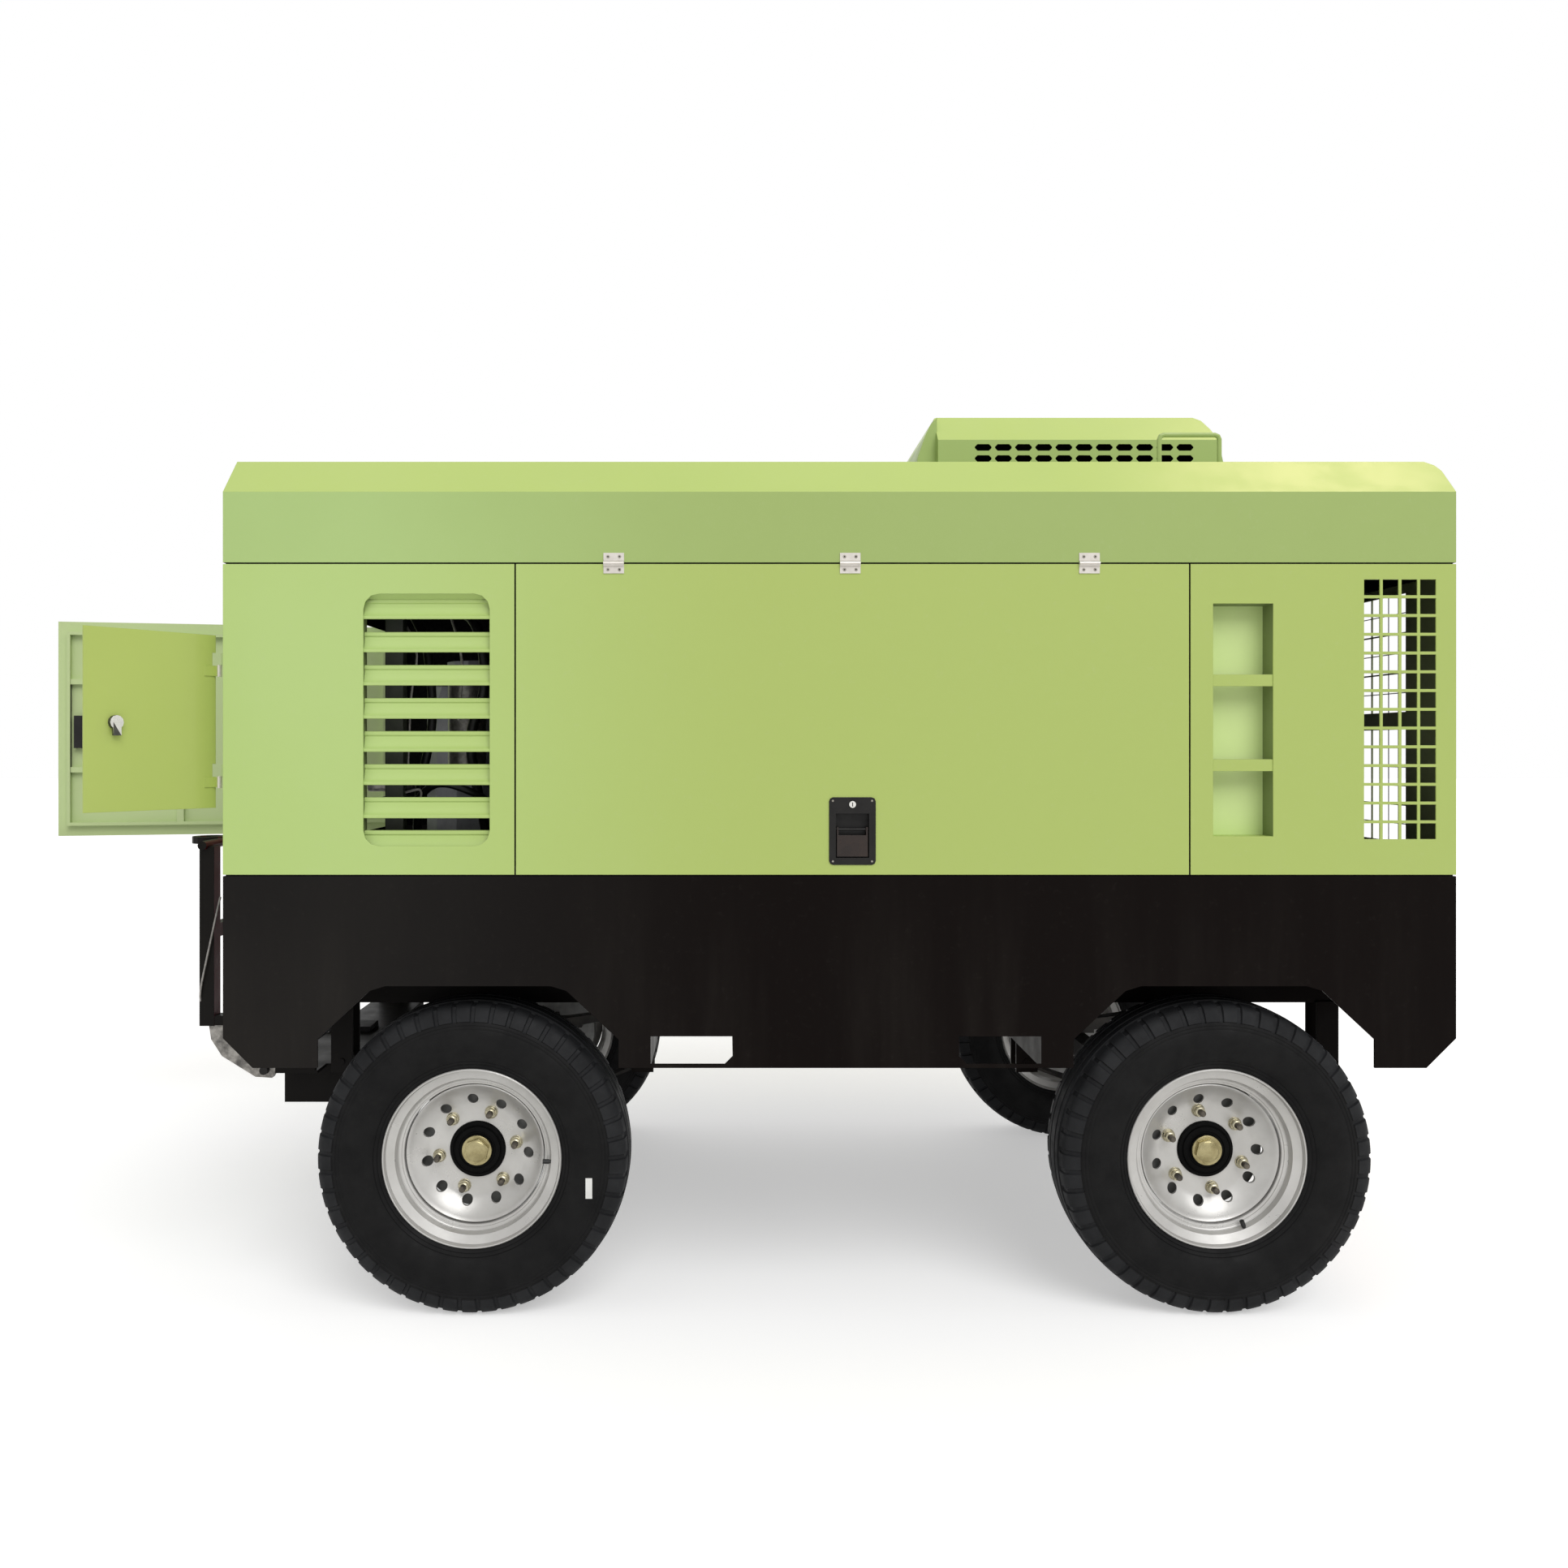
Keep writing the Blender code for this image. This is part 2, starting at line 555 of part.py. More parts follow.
half_tyre = TYRE_WIDTH / 2
tyre_profile = [
    (SEAT_RADIUS + 0.001, 0.064), (0.300, half_tyre), (0.362, half_tyre - 0.008),
        (TYRE_RADIUS - 0.008, 0.082),
    (TYRE_RADIUS, 0.045),
]
tyre_profile += [(r, -t) for r, t in reversed(tyre_profile)]
tyre_profile += [(SEAT_RADIUS + 0.001, -0.050), (0.300, -0.093), (TYRE_RADIUS - 0.026, -0.055)]
tyre_profile += [(TYRE_RADIUS - 0.026, 0.055), (0.300, 0.093), (SEAT_RADIUS + 0.001, 0.050)]
rim_profile = [
    (RIM_RADIUS, 0.0835), (0.178, 0.030), (0.178, -0.006), (0.115, DISC_FACE), (BORE_RADIUS, DISC_FACE),
    (BORE_RADIUS, DISC_FACE - 0.008), (0.115, DISC_FACE - 0.008), (0.178, -0.016), (0.178, -0.030),
        (RIM_RADIUS, -0.0835),
    (RIM_RADIUS, -0.0790), (SEAT_RADIUS, -0.067), (0.185, -0.030), (0.185, 0.030), (SEAT_RADIUS, 0.067),
        (RIM_RADIUS, 0.0790),
]
hub_back = DISC_FACE - 0.008 - GAP
hub_bore = SPINDLE_RADIUS / math.cos(math.pi / HUB_SIDES) + GAP
hub_profile = [
    (hub_bore, HUB_INNER), (0.052, HUB_INNER), (0.055, hub_back - 0.014), (0.116, hub_back - 0.014),
    (0.116, hub_back), (0.072, hub_back), (0.072, -0.008), (0.066, -0.004), (0.040, -0.004), (0.040, 0.0),
    (0.0, 0.0), (0.0, -0.011), (hub_bore, -0.011),
]


def wheel(name, axle, side):
    centre = (axle, side * WHEEL_Y, WHEEL_Z)
    level = -math.pi / 2

    def across(t0, t1):
        return sorted((centre[1] + side * t0, centre[1] + side * t1))

    part(f"tyre_{name}", RUBBER, lathe(tyre_profile, centre, side, WHEEL_SIDES, level), (), centre)
    vents, nuts, studs = [], [], []
    for i in range(VENTS):
        angle = 2 * math.pi * i / VENTS
        vents.append(circle(axle + VENT_CIRCLE * math.cos(angle), WHEEL_Z + VENT_CIRCLE * math.sin(angle),
            VENT_RADIUS, 6))
    for i in range(STUDS):
        angle = 2 * math.pi * i / STUDS + 0.3
        at = (axle + STUD_CIRCLE * math.cos(angle), WHEEL_Z + STUD_CIRCLE * math.sin(angle))
        nuts.append(circle(*at, NUT_RADIUS, 6))
        studs.append(circle(*at, STUD_RADIUS, 6))
    part(f"rim_{name}", SILVER, lathe(rim_profile, centre, side, WHEEL_SIDES, level), [
        ("-", prisms("Y", vents, *across(-0.06, 0.02))),
        ("+", prisms("Y", nuts, *across(DISC_FACE - 0.002, DISC_FACE + 0.016))),
        ("+", prisms("Y", studs, *across(DISC_FACE + 0.010, DISC_FACE + 0.038))),
    ], centre)
    part(f"hub_{name}", BLACK, lathe(hub_profile, centre, side, HUB_SIDES, level), [
        ("+", rod("Y", (axle, WHEEL_Z), CAP_RADIUS, *across(-0.001, 0.010), 6)),
    ], centre)


wheel("front_near", AXLE_X[0], -1)
wheel("front_far", AXLE_X[0], 1)
wheel("rear_near", AXLE_X[1], -1)
wheel("rear_far", AXLE_X[1], 1)

# Canopy sides.


def side_plate(name, x0, x1, side, look, steps, origin=None):
    return part(name, look, boxes(mirrored(x0, x1, -SIDE, -SIDE + SHEET, *PANEL_Z, side)), steps, origin)


def post(x0, x1, side):
    return boxes(mirrored(x0, x1, -SIDE + 0.003, -SIDE + 0.030, PANEL_Z[0] + 0.030, PANEL_Z[1] - 0.030, side))


def through_side(outlines, side, depth=0.02):
    return prisms("Y", outlines, *sorted((side * (SIDE + 0.01), side * (SIDE - depth))))


def front_panel(name, side, louvre):
    steps = [("+", post(DOOR_X[0] - 0.045, DOOR_X[0] - 0.012, side))]
    if louvre:
        steps.insert(0, ("-", through_side([rounded(*LOUVRE_X, *LOUVRE_Z, LOUVRE_CORNER)], side)))
    side_plate(name, -END, DOOR_X[0] - SEAM, side, GREEN, steps)


def rear_panel(name, side):
    pitch_x = (GRILLE_X[1] - GRILLE_X[0] - GRILLE_HOLE) / (GRILLE_COLUMNS - 1)
    pitch_z = (GRILLE_Z[1] - GRILLE_Z[0] - GRILLE_HOLE) / (GRILLE_ROWS - 1)
    holes = []
    for column in range(GRILLE_COLUMNS):
        for row in range(GRILLE_ROWS):
            x, z = GRILLE_X[0] + column * pitch_x, GRILLE_Z[0] + row * pitch_z
            holes.append([(x, z), (x + GRILLE_HOLE, z), (x + GRILLE_HOLE, z + GRILLE_HOLE),
                (x, z + GRILLE_HOLE)])
    pan = mirrored(RECESS_X[0] - 0.003, RECESS_X[1] + 0.003, -SIDE + 0.002, -SIDE + RECESS_DEPTH + 0.003,
                   RECESS_Z[0] - 0.003, RECESS_Z[1] + 0.003, side)
    hollow = mirrored(*RECESS_X, -SIDE - 0.01, -SIDE + RECESS_DEPTH, *RECESS_Z, side)
    rungs = [mirrored(RECESS_X[0] - 0.002, RECESS_X[1] + 0.002, -SIDE + 0.004, -SIDE + 0.034, z - 0.004,
        z + 0.004, side) for z in RUNGS_Z]
    faces = [mirrored(RECESS_X[0] - 0.002, RECESS_X[1] + 0.002, -SIDE + 0.002, -SIDE + 0.006, z - 0.026,
        z + 0.003, side) for z in RUNGS_Z]
    side_plate(name, DOOR_X[1] + SEAM, END, side, GREEN, [
        ("-", through_side(holes, side)),
        ("+", boxes(pan)),
        ("-", boxes(hollow)),
        ("+", boxes(*rungs)),
        ("+", boxes(*faces)),
        ("+", post(DOOR_X[1] + 0.012, DOOR_X[1] + 0.045, side)),
    ])


front_panel("panel_front_near", -1, True)
front_panel("panel_front_far", 1, False)
rear_panel("panel_rear_near", -1)
rear_panel("panel_rear_far", 1)

blade_pitch = (LOUVRE_Z[1] - LOUVRE_Z[0]) / (BLADES - 0.4)
stile = LOUVRE_X[0] - 0.018, LOUVRE_X[1] + 0.018
back = -SIDE + SHEET + GAP
blades = []
for i in range(BLADES):
    z = LOUVRE_Z[0] - 0.014 + i * blade_pitch
    outline = [(back - 0.0030, z), (back - 0.0018, z - 0.001), (back + 0.030, z + 0.050),
        (back + 0.030, z + 0.056),
               (back + 0.020, z + 0.056), (back + 0.0205, z + 0.051)]
    blades.append([(max(y, back), zz) for y, zz in outline])
part("louvre", GREEN, box(stile[0], LOUVRE_X[0] - 0.001, back, back + 0.036, LOUVRE_Z[0] - 0.02,
    LOUVRE_Z[1] + 0.02), [
    ("+", box(LOUVRE_X[1] + 0.001, stile[1], back, back + 0.036, LOUVRE_Z[0] - 0.02, LOUVRE_Z[1] + 0.02)),
    ("+", prisms("X", blades, LOUVRE_X[0] - 0.003, LOUVRE_X[1] + 0.003)),
])

# Side doors with their paddle latches. A latch is drawn outward along -Y about (0, 0), then turned and set.

LATCH_CUP = (0.084, 0.112)
LATCH_DEPTH = 0.028
PADDLE_AXIS = (0.0095, 0.004)  # behind the face, and above the latch's middle


def latch_shapes():
    w, h = LATCH_SIZE[0] / 2, LATCH_SIZE[1] / 2
    cw, low = LATCH_CUP[0] / 2, -h + 0.018
    high = low + LATCH_CUP[1]
    return [
        ("-", box(-cw - 0.003, cw + 0.003, -0.02, 0.02, low - 0.003, high + 0.003)),
        ("+", prism("Y", rounded(-w, w, -h, h, 0.010, 2), -0.0025, 0.001)),
        ("+", box(-cw - 0.004, cw + 0.004, -0.001, LATCH_DEPTH, low - 0.004, high + 0.004)),
        ("-", box(-cw, cw, -0.02, LATCH_DEPTH - 0.002, low, high)),
        ("+", rod("Y", (0, h - 0.018), 0.0095, -0.006, 0.020)),
        ("+", rod("X", PADDLE_AXIS, 0.003, -cw - 0.002, cw + 0.002, 8)),
    ]


def paddle_shape():
    w, h = LATCH_CUP[0] / 2 - 0.003, LATCH_SIZE[1] / 2
    low = -h + 0.021
    y, z = PADDLE_AXIS
    return box(-w, w, -0.0015, 0.003, low, low + 0.054), [
        ("+", box(-w, -w + 0.004, -0.0010, y + 0.006, low + 0.035, z + 0.006)),
        ("+", box(w - 0.004, w, -0.0010, y + 0.006, low + 0.035, z + 0.006)),
        ("-", rod("X", PADDLE_AXIS, 0.0034, -w - 0.01, w + 0.01, 8)),
    ]


def latch_steps(matrix):
    return [(sign, moved(shape, matrix)) for sign, shape in latch_shapes()]


def paddle(name, matrix, body_turn=None):
    base, steps = paddle_shape()
    made = part(name, PLASTIC, moved(base, matrix), [(sign, moved(s, matrix)) for sign, s in steps],
                matrix @ Vector((0, *PADDLE_AXIS)))
    if body_turn:
        turn_about(made, *body_turn)
    return made


def turn_about(obj, pivot, angle):
    """Swings a piece that was drawn closed about an upright line."""
    turn = Matrix.Translation(pivot) @ Matrix.Rotation(angle, 4, "Z") @ Matrix.Translation(-Vector(pivot))
    obj.matrix_world = turn @ Matrix.Translation(obj.location)


HINGE_AXIS = (SIDE + HINGE_RADIUS + 0.0005, ROOF_SEAM - 0.002)


def side_door(name, side):
    x0, x1 = DOOR_X
    ring = (x0 + DOOR_RING, x1 - DOOR_RING, -SIDE + 0.003, -SIDE + 0.024, PANEL_Z[0] + DOOR_RING,
        PANEL_Z[1] - DOOR_RING)
    well = (ring[0] + 0.012, ring[1] - 0.012, -SIDE + SHEET, -SIDE + 0.05, ring[4] + 0.012, ring[5] - 0.012)
    steps = [("+", boxes(mirrored(*ring, side))), ("-", boxes(mirrored(*well, side)))]
    wide = HINGE_LEAF / 2
    for x in HINGES_X:
        steps.append(("+", rod("X", (-HINGE_AXIS[0] if side < 0 else HINGE_AXIS[0], HINGE_AXIS[1]),
            HINGE_RADIUS, x - wide, x + wide, 10)))
        steps.append(("+", boxes(mirrored(x - wide, x + wide, -SIDE - 0.0075, -SIDE + 0.001,
            HINGE_AXIS[1] - 0.026, HINGE_AXIS[1] - 0.0040, side))))
        steps.append(("-", boxes(mirrored(x - wide - 0.01, x + wide + 0.01, -SIDE - 0.02, -SIDE - 0.0022,
            HINGE_AXIS[1] - 0.03, HINGE_AXIS[1] - 0.0065, side))))
    steps += latch_steps(latch_place(side))
    return side_plate(name, x0, x1, side, GREEN, steps, (0, side * HINGE_AXIS[0], HINGE_AXIS[1]))


def latch_place(side):
    where = Matrix.Translation((LATCH_X, side * SIDE, LATCH_Z))
    return where if side < 0 else where @ Matrix.Rotation(math.pi, 4, "Z")


side_door("door_near", -1)
side_door("door_far", 1)
paddle("latch_near", latch_place(-1))
paddle("latch_far", latch_place(1))

# Roof, hood, handrail.


def roof_outline(inset):
    s = SIDE - inset
    top = ROOF_TOP - inset
    run = ROOF_SLOPE + inset * 0.4142
    fold = ROOF_FOLD - (0 if not inset else inset * 0.4142)
    return [(-s, ROOF_SEAM), (-s, fold), (-s + run - inset * 0.4142, top), (s - run + inset * 0.4142, top),
        (s, fold), (s, ROOF_SEAM)]


roof_steps = [
    ("-", prism("X", [(y, z - (0.05 if z == ROOF_SEAM else 0)) for y, z in roof_outline(SHEET)],
        -END + SHEET, END - SHEET)),
]
for side in (-1, 1):
    roof_steps.append(("+", boxes(mirrored(-END + 0.006, END - 0.006, -SIDE + 0.003, -LIP_IN,
        ROOF_SEAM + 0.003, ROOF_SEAM + 0.03, side))))
    roof_steps.append(("+", boxes(mirrored(-END + 0.006, END - 0.006, -LIP_OUT, -LIP_IN, ROOF_SEAM - 0.024,
        ROOF_SEAM + 0.02, side))))
for way in (-1, 1):
    xs = sorted((way * (END - 0.003), way * (END - 0.008)))
    roof_steps.append(("+", box(*xs, -0.87, 0.87, ROOF_SEAM + 0.003, ROOF_SEAM + 0.03)))
    xs = sorted((way * (END - SHEET - GAP), way * (END - 0.008)))
    roof_steps.append(("+", box(*xs, -0.87, 0.87, ROOF_SEAM - 0.024, ROOF_SEAM + 0.02)))
for side in (-1, 1):
    for x in HINGES_X:
        roof_steps.append(("+", boxes(mirrored(
            x - HINGE_LEAF / 2, x + HINGE_LEAF / 2, -SIDE - 0.0022, -SIDE + 0.001, HINGE_AXIS[1] + 0.0055,
                HINGE_AXIS[1] + 0.026, side))))
vent = (HOOD_X[0] + 0.06, HOOD_X[1] - 0.06, -HOOD_HALF + 0.06, HOOD_HALF - 0.06)
roof_steps.append(("-", box(*vent, ROOF_TOP - 0.05, ROOF_TOP + 0.05)))
nose = 0.030
roof_steps.append(("-", prism("Y", [
    (END + 0.01, ROOF_TOP + 0.01), (END - nose, ROOF_TOP + 0.01), (END - nose, ROOF_TOP),
        (END - nose * 0.3, ROOF_TOP - nose * 0.4),
    (END, ROOF_TOP - nose), (END + 0.01, ROOF_TOP - nose)], -SIDE - 0.01, SIDE + 0.01)))
roof_steps.insert(1, ("+", box(END - nose - 0.012, END - 0.002, -SIDE + ROOF_SLOPE + 0.002,
    SIDE - ROOF_SLOPE - 0.002, ROOF_TOP - nose - 0.01, ROOF_TOP - 0.002)))
part("roof", GREEN, prism("X", roof_outline(0), -END, END), roof_steps)


def hood_shape(inset):
    y, top = HOOD_HALF - inset, HOOD_TOP - inset
    x0, x1 = HOOD_X[0] + inset, HOOD_X[1] - inset
    low = ROOF_TOP + GAP - (0.02 if inset else 0)
    across = prism("X", [(-y, low), (-y, HOOD_FOLD), (-y + 0.09, top), (y - 0.09, top), (y, HOOD_FOLD),
        (y, low)], x0 - 0.1, x1 + 0.1)
    along = prism("Y", [
        (x0, low), (x0, top - 0.010), (x0 + 0.003, top - 0.003), (x0 + 0.010, top),
        (x1 - 0.058, top), (x1 - 0.038, top - 0.012), (x1 - 0.024, top - 0.045), (x1 - 0.014, top - 0.092),
        (x1, top - 0.160), (x1, low)], -y - 0.1, y + 0.1)
    along.parent = across
    meet = across.modifiers.new("meet", "BOOLEAN")
    meet.operation, meet.solver, meet.object = "INTERSECT", "EXACT", along
    return across


first = (HOOD_X[0] + HOOD_X[1]) / 2 + 0.009 - HOOD_PITCH * (HOOD_SLOTS - 1) / 2
slots = [
    rounded(x - HOOD_SLOT[0] / 2, x + HOOD_SLOT[0] / 2, z - HOOD_SLOT[1] / 2, z + HOOD_SLOT[1] / 2,
        HOOD_SLOT[1] * 0.4, 1)
    for x in (first + HOOD_PITCH * i for i in range(HOOD_SLOTS)) for z in HOOD_ROWS
]
cowl = [(HOOD_X[0] + 0.002, 2.385), (0.306, 2.366), (0.290, 2.3335), (0.268, COWL_Z[1]), (0.262, COWL_Z[0])]
cowl_inside = [(0.265, COWL_Z[0] - 0.01), (0.271, 2.269), (0.293, 2.332), (0.308, 2.362),
    (HOOD_X[0] - 0.002, 2.379)]
cowl_low = [(HOOD_X[0] + 0.002, COWL_Z[0])]
part("hood", GREEN, hood_shape(0), [
    ("+", prism("Y", cowl + cowl_low, -COWL_HALF, COWL_HALF)),
    ("-", prism("Y", cowl_inside + [(HOOD_X[0] - 0.002, COWL_Z[0] - 0.01)], -COWL_HALF + 0.003,
        COWL_HALF - 0.003)),
    ("-", hood_shape(0.003)),
    ("-", box(HOOD_X[0] - 0.01, HOOD_X[0] + 0.01, -COWL_HALF + 0.02, COWL_HALF - 0.02, 2.200, 2.360)),
    ("-", prisms("Y", slots, -HOOD_HALF - 0.01, -HOOD_HALF + 0.01)),
    ("-", prisms("Y", slots, HOOD_HALF - 0.01, HOOD_HALF + 0.01)),
])

x0, x1 = RAIL_GRIP_X
grip_y = -0.750
bend = 0.012
part("handrail", GREEN, tube([
    (x0 + 0.0065, grip_y, ROOF_TOP + GAP), (x0 + 0.0065, grip_y, RAIL_GRIP_Z - 0.0065 - bend),
        (x0 + 0.010, grip_y, RAIL_GRIP_Z - 0.010),
    (x0 + 0.0065 + bend, grip_y, RAIL_GRIP_Z - 0.0065), (x1 - 0.0065 - bend, grip_y, RAIL_GRIP_Z - 0.0065),
    (x1 - 0.010, grip_y, RAIL_GRIP_Z - 0.010), (x1 - 0.0065, grip_y, RAIL_GRIP_Z - 0.0065 - bend),
        (x1 - 0.0065, grip_y, ROOF_TOP + GAP)],
    0.0065))

# Ends.

control_y = (-CONTROL_AXIS[1] - 0.002, -CONTROL_AXIS[1] - 0.002 + CONTROL_DOOR[0])
control_z = (CONTROL_DOOR_Z - CONTROL_DOOR[1] / 2, CONTROL_DOOR_Z + CONTROL_DOOR[1] / 2)
END_AXIS = (-END - 0.0105, END_DOOR_Y[1] + 0.0075)
END_HINGES_Z = (1.200, 1.500, 1.780)
CONTROL_HINGES_Z = (1.355, 1.640)
control_axis = (-END - CONTROL_AXIS[0], -CONTROL_AXIS[1])
window = 0.030
frame_steps = [
    ("-", box(-END - 0.01, -END + 0.02, END_DOOR_Y[0] + window, END_DOOR_Y[1] - window, PANEL_Z[0] + window,
        PANEL_Z[1] - window)),
    ("-", box(-END - 0.01, -END + 0.02, control_y[0] + 0.018, control_y[1] - 0.018, control_z[0] + 0.018,
        control_z[1] - 0.018)),
]
for z in END_HINGES_Z:
    frame_steps.append(("+", box(END_AXIS[0] + 0.0063, -END + 0.001, END_AXIS[1] - 0.006,
        END_AXIS[1] + 0.0032, z + 0.0003, z + 0.030)))
for z in CONTROL_HINGES_Z:
    frame_steps.append(("+", box(control_axis[0] + 0.0063, -END + 0.001, control_axis[1] - 0.006,
        control_axis[1] + 0.006, z + 0.0003, z + 0.030)))
part("front_frame", GREEN, box(-END, -END + SHEET, -LIP_OUT, LIP_OUT, *PANEL_Z), frame_steps)

windows = []
wire = 0.004
for z0, z1 in REAR_WINDOWS:
    for i in range(REAR_CELLS[0]):
        for j in range(REAR_CELLS[1]):
            wide, tall = 2 * REAR_HALF / REAR_CELLS[0], (z1 - z0) / REAR_CELLS[1]
            y, z = -REAR_HALF + i * wide, z0 + j * tall
            windows.append((END - 0.02, END + 0.02, y + wire / 2, y + wide - wire / 2, z + wire / 2,
                z + tall - wire / 2))
part("rear_grille", GREEN, box(END - SHEET, END, -LIP_OUT, LIP_OUT, *PANEL_Z), [("-", boxes(*windows))])

face = (-END - GAP - SHEET, -END - GAP)
inside_x = (face[1] - 0.001, -END + 0.022)
y0, y1 = END_DOOR_Y
dz0, dz1 = PANEL_Z[0] - 0.004, PANEL_Z[1] + 0.004
ring = (*inside_x, y0 + window + 0.004, y1 - window - 0.004, PANEL_Z[0] + window + 0.004,
    PANEL_Z[1] - window - 0.004)
rib = 0.012
door_steps = [
    ("+", box(*ring)),
    ("-", box(face[1], inside_x[1] + 0.01, ring[2] + rib, ring[3] - rib, ring[4] + rib, ring[5] - rib)),
    ("+", box(face[1] - 0.001, inside_x[1] - 0.004, ring[2] + 0.002, y0 + 0.42, 1.664, 1.684)),
    ("+", box(face[1] - 0.001, inside_x[1] - 0.004, ring[2] + 0.002, y0 + 0.42, 1.338, 1.358)),
    ("+", box(face[1] - 0.001, inside_x[1] - 0.002, y0 + 0.415, y0 + 0.440, ring[4] + 0.002,
        ring[5] - 0.002)),
]
for z in END_HINGES_Z:
    door_steps.append(("+", rod("Z", END_AXIS, 0.006, z - 0.030, z, 10)))
    door_steps.append(("+", box(END_AXIS[0] + 0.001, face[1] - 0.001, y1 - 0.02, END_AXIS[1], z - 0.028,
        z - 0.002)))
latch_on_end = Matrix.Translation((face[0], y0 + 0.105, 1.500)) @ Matrix.Rotation(-math.pi / 2, 4, "Z")
door_steps += latch_steps(latch_on_end)
end_pivot = (*END_AXIS, 0)
end_turn = math.radians(-END_DOOR_OPEN)
door = part("end_door", GREEN, box(*face, y0, y1, dz0, dz1), door_steps, (*END_AXIS, 1.5))
turn_about(door, end_pivot, end_turn)
paddle("end_latch", latch_on_end, (end_pivot, end_turn))

control_pivot = (*control_axis, 0)
control_turn = math.radians(CONTROL_DOOR_OPEN)
lock = (control_y[1] - 0.22 * CONTROL_DOOR[0], CONTROL_DOOR_Z - 0.006)
door_steps = [
    ("+", box(face[1] - 0.001, -END + 0.014, control_y[0] + 0.022, control_y[1] - 0.022,
        control_z[0] + 0.022, control_z[1] - 0.022)),
    ("-", box(face[1], -END + 0.05, control_y[0] + 0.030, control_y[1] - 0.030, control_z[0] + 0.030,
        control_z[1] - 0.030)),
    ("-", rod("X", lock, 0.0115, face[0] - 0.01, face[1] + 0.01)),
]
for z in CONTROL_HINGES_Z:
    door_steps.append(("-", box(face[0] - 0.01, face[1] + 0.01, control_y[0] - 0.01,
        control_axis[1] + 0.0075, z - 0.001, z + 0.032)))
    door_steps.append(("+", rod("Z", control_axis, 0.006, z - 0.030, z, 10)))
    door_steps.append(("+", box(control_axis[0] - 0.002, face[0] + 0.002, control_axis[1] - 0.001,
        control_axis[1] + 0.004, z - 0.028, z - 0.002)))
    door_steps.append(("+", box(face[0] - 0.002, face[0] + 0.002, control_axis[1] - 0.001,
        control_axis[1] + 0.030, z - 0.028, z - 0.002)))
door = part("control_door", BRIGHT, box(*face, *control_y, *control_z), door_steps,
    (*control_axis, CONTROL_DOOR_Z))
turn_about(door, control_pivot, control_turn)
cam = part("cam_lock", STEEL, rod("X", lock, 0.011, face[0] - 0.004, face[1] + 0.010), [
    ("+", rod("X", lock, 0.017, face[0] - 0.012, face[0] - GAP)),
    ("+", box(face[0] - 0.014, face[0] - 0.008, lock[0] - 0.010, lock[0] + 0.010, lock[1] - 0.032, lock[1])),
    ("+", box(face[1] + 0.005, face[1] + 0.009, lock[0] - 0.008, lock[0] + 0.008, lock[1] - 0.008,
        lock[1] + 0.030)),
], (face[0], *lock))
turn_about(cam, control_pivot, control_turn)

cabinet = (-END + SHEET + GAP, -END + 0.200, control_y[0] + 0.002, -0.400, 1.245, 1.745)
stop_at = (-0.640, 1.345)
panel_x = -END + 0.050
wall = 0.003
part("control_box", GREY, box(*cabinet), [
    ("-", box(cabinet[0] - 0.01, panel_x, cabinet[2] + wall, cabinet[3] - wall, cabinet[4] + wall,
        cabinet[5] - wall)),
    ("-", box(panel_x + wall, cabinet[1] - wall, cabinet[2] + wall, cabinet[3] - wall, cabinet[4] + wall,
        cabinet[5] - wall)),
    ("-", rod("X", stop_at, 0.0095, panel_x - 0.01, panel_x + 0.02)),
    ("+", box(panel_x - 0.010, panel_x + 0.001, -0.780, -0.640, 1.500, 1.600)),
    ("+", rod("X", (-0.570, 1.600), 0.030, panel_x - 0.008, panel_x + 0.001, 12)),
    ("+", rod("X", (-0.570, 1.520), 0.030, panel_x - 0.008, panel_x + 0.001, 12)),
    ("+", rod("X", (-0.740, 1.345), 0.014, panel_x - 0.012, panel_x + 0.001, 12)),
])
part("stop_button", RED, rod("X", stop_at, 0.0090, panel_x - 0.016, panel_x + 0.008, 10), [
    ("+", rod("X", stop_at, 0.020, panel_x - 0.026, panel_x - 0.010, 12)),
], (panel_x, *stop_at))

# Machinery inside.

engine_steps = [
    ("+", box(-0.06, 0.70, -0.18, 0.18, 0.900, 1.060)),
    ("+", box(-0.08, 0.76, -0.20, 0.20, 1.440, 1.580)),
    ("+", box(-0.04, 0.72, 0.19, 0.30, 1.450, MANIFOLD_TOP)),
    ("+", box(0.00, 0.68, -0.29, -0.19, 1.460, 1.530)),
    ("+", rod("X", (0, 1.200), 0.250, -0.200, -0.090, 16)),
    ("+", rod("X", (0, 1.200), 0.110, 0.790, 0.860, 16)),
    ("+", rod("X", (0, FAN_Z), 0.024, 0.790, FAN_X + 0.022, 12)),
    ("+", rod("X", (0.150, 1.660), 0.085, 0.30, 0.42, 12)),
    ("+", box(0.32, 0.40, 0.12, 0.18, 1.560, 1.620)),
]
for x in (0.05, 0.60):
    engine_steps.append(("+", box(x, x + 0.08, -0.34, 0.34, 1.080, 1.120)))
    engine_steps.append(("+", boxes((x, x + 0.08, -0.34, -0.28, FLOOR_TOP + GAP, 1.115),
        (x, x + 0.08, 0.28, 0.34, FLOOR_TOP + GAP, 1.115))))
part("engine", GREY, box(-0.10, 0.80, -0.24, 0.24, 1.050, 1.450), engine_steps)

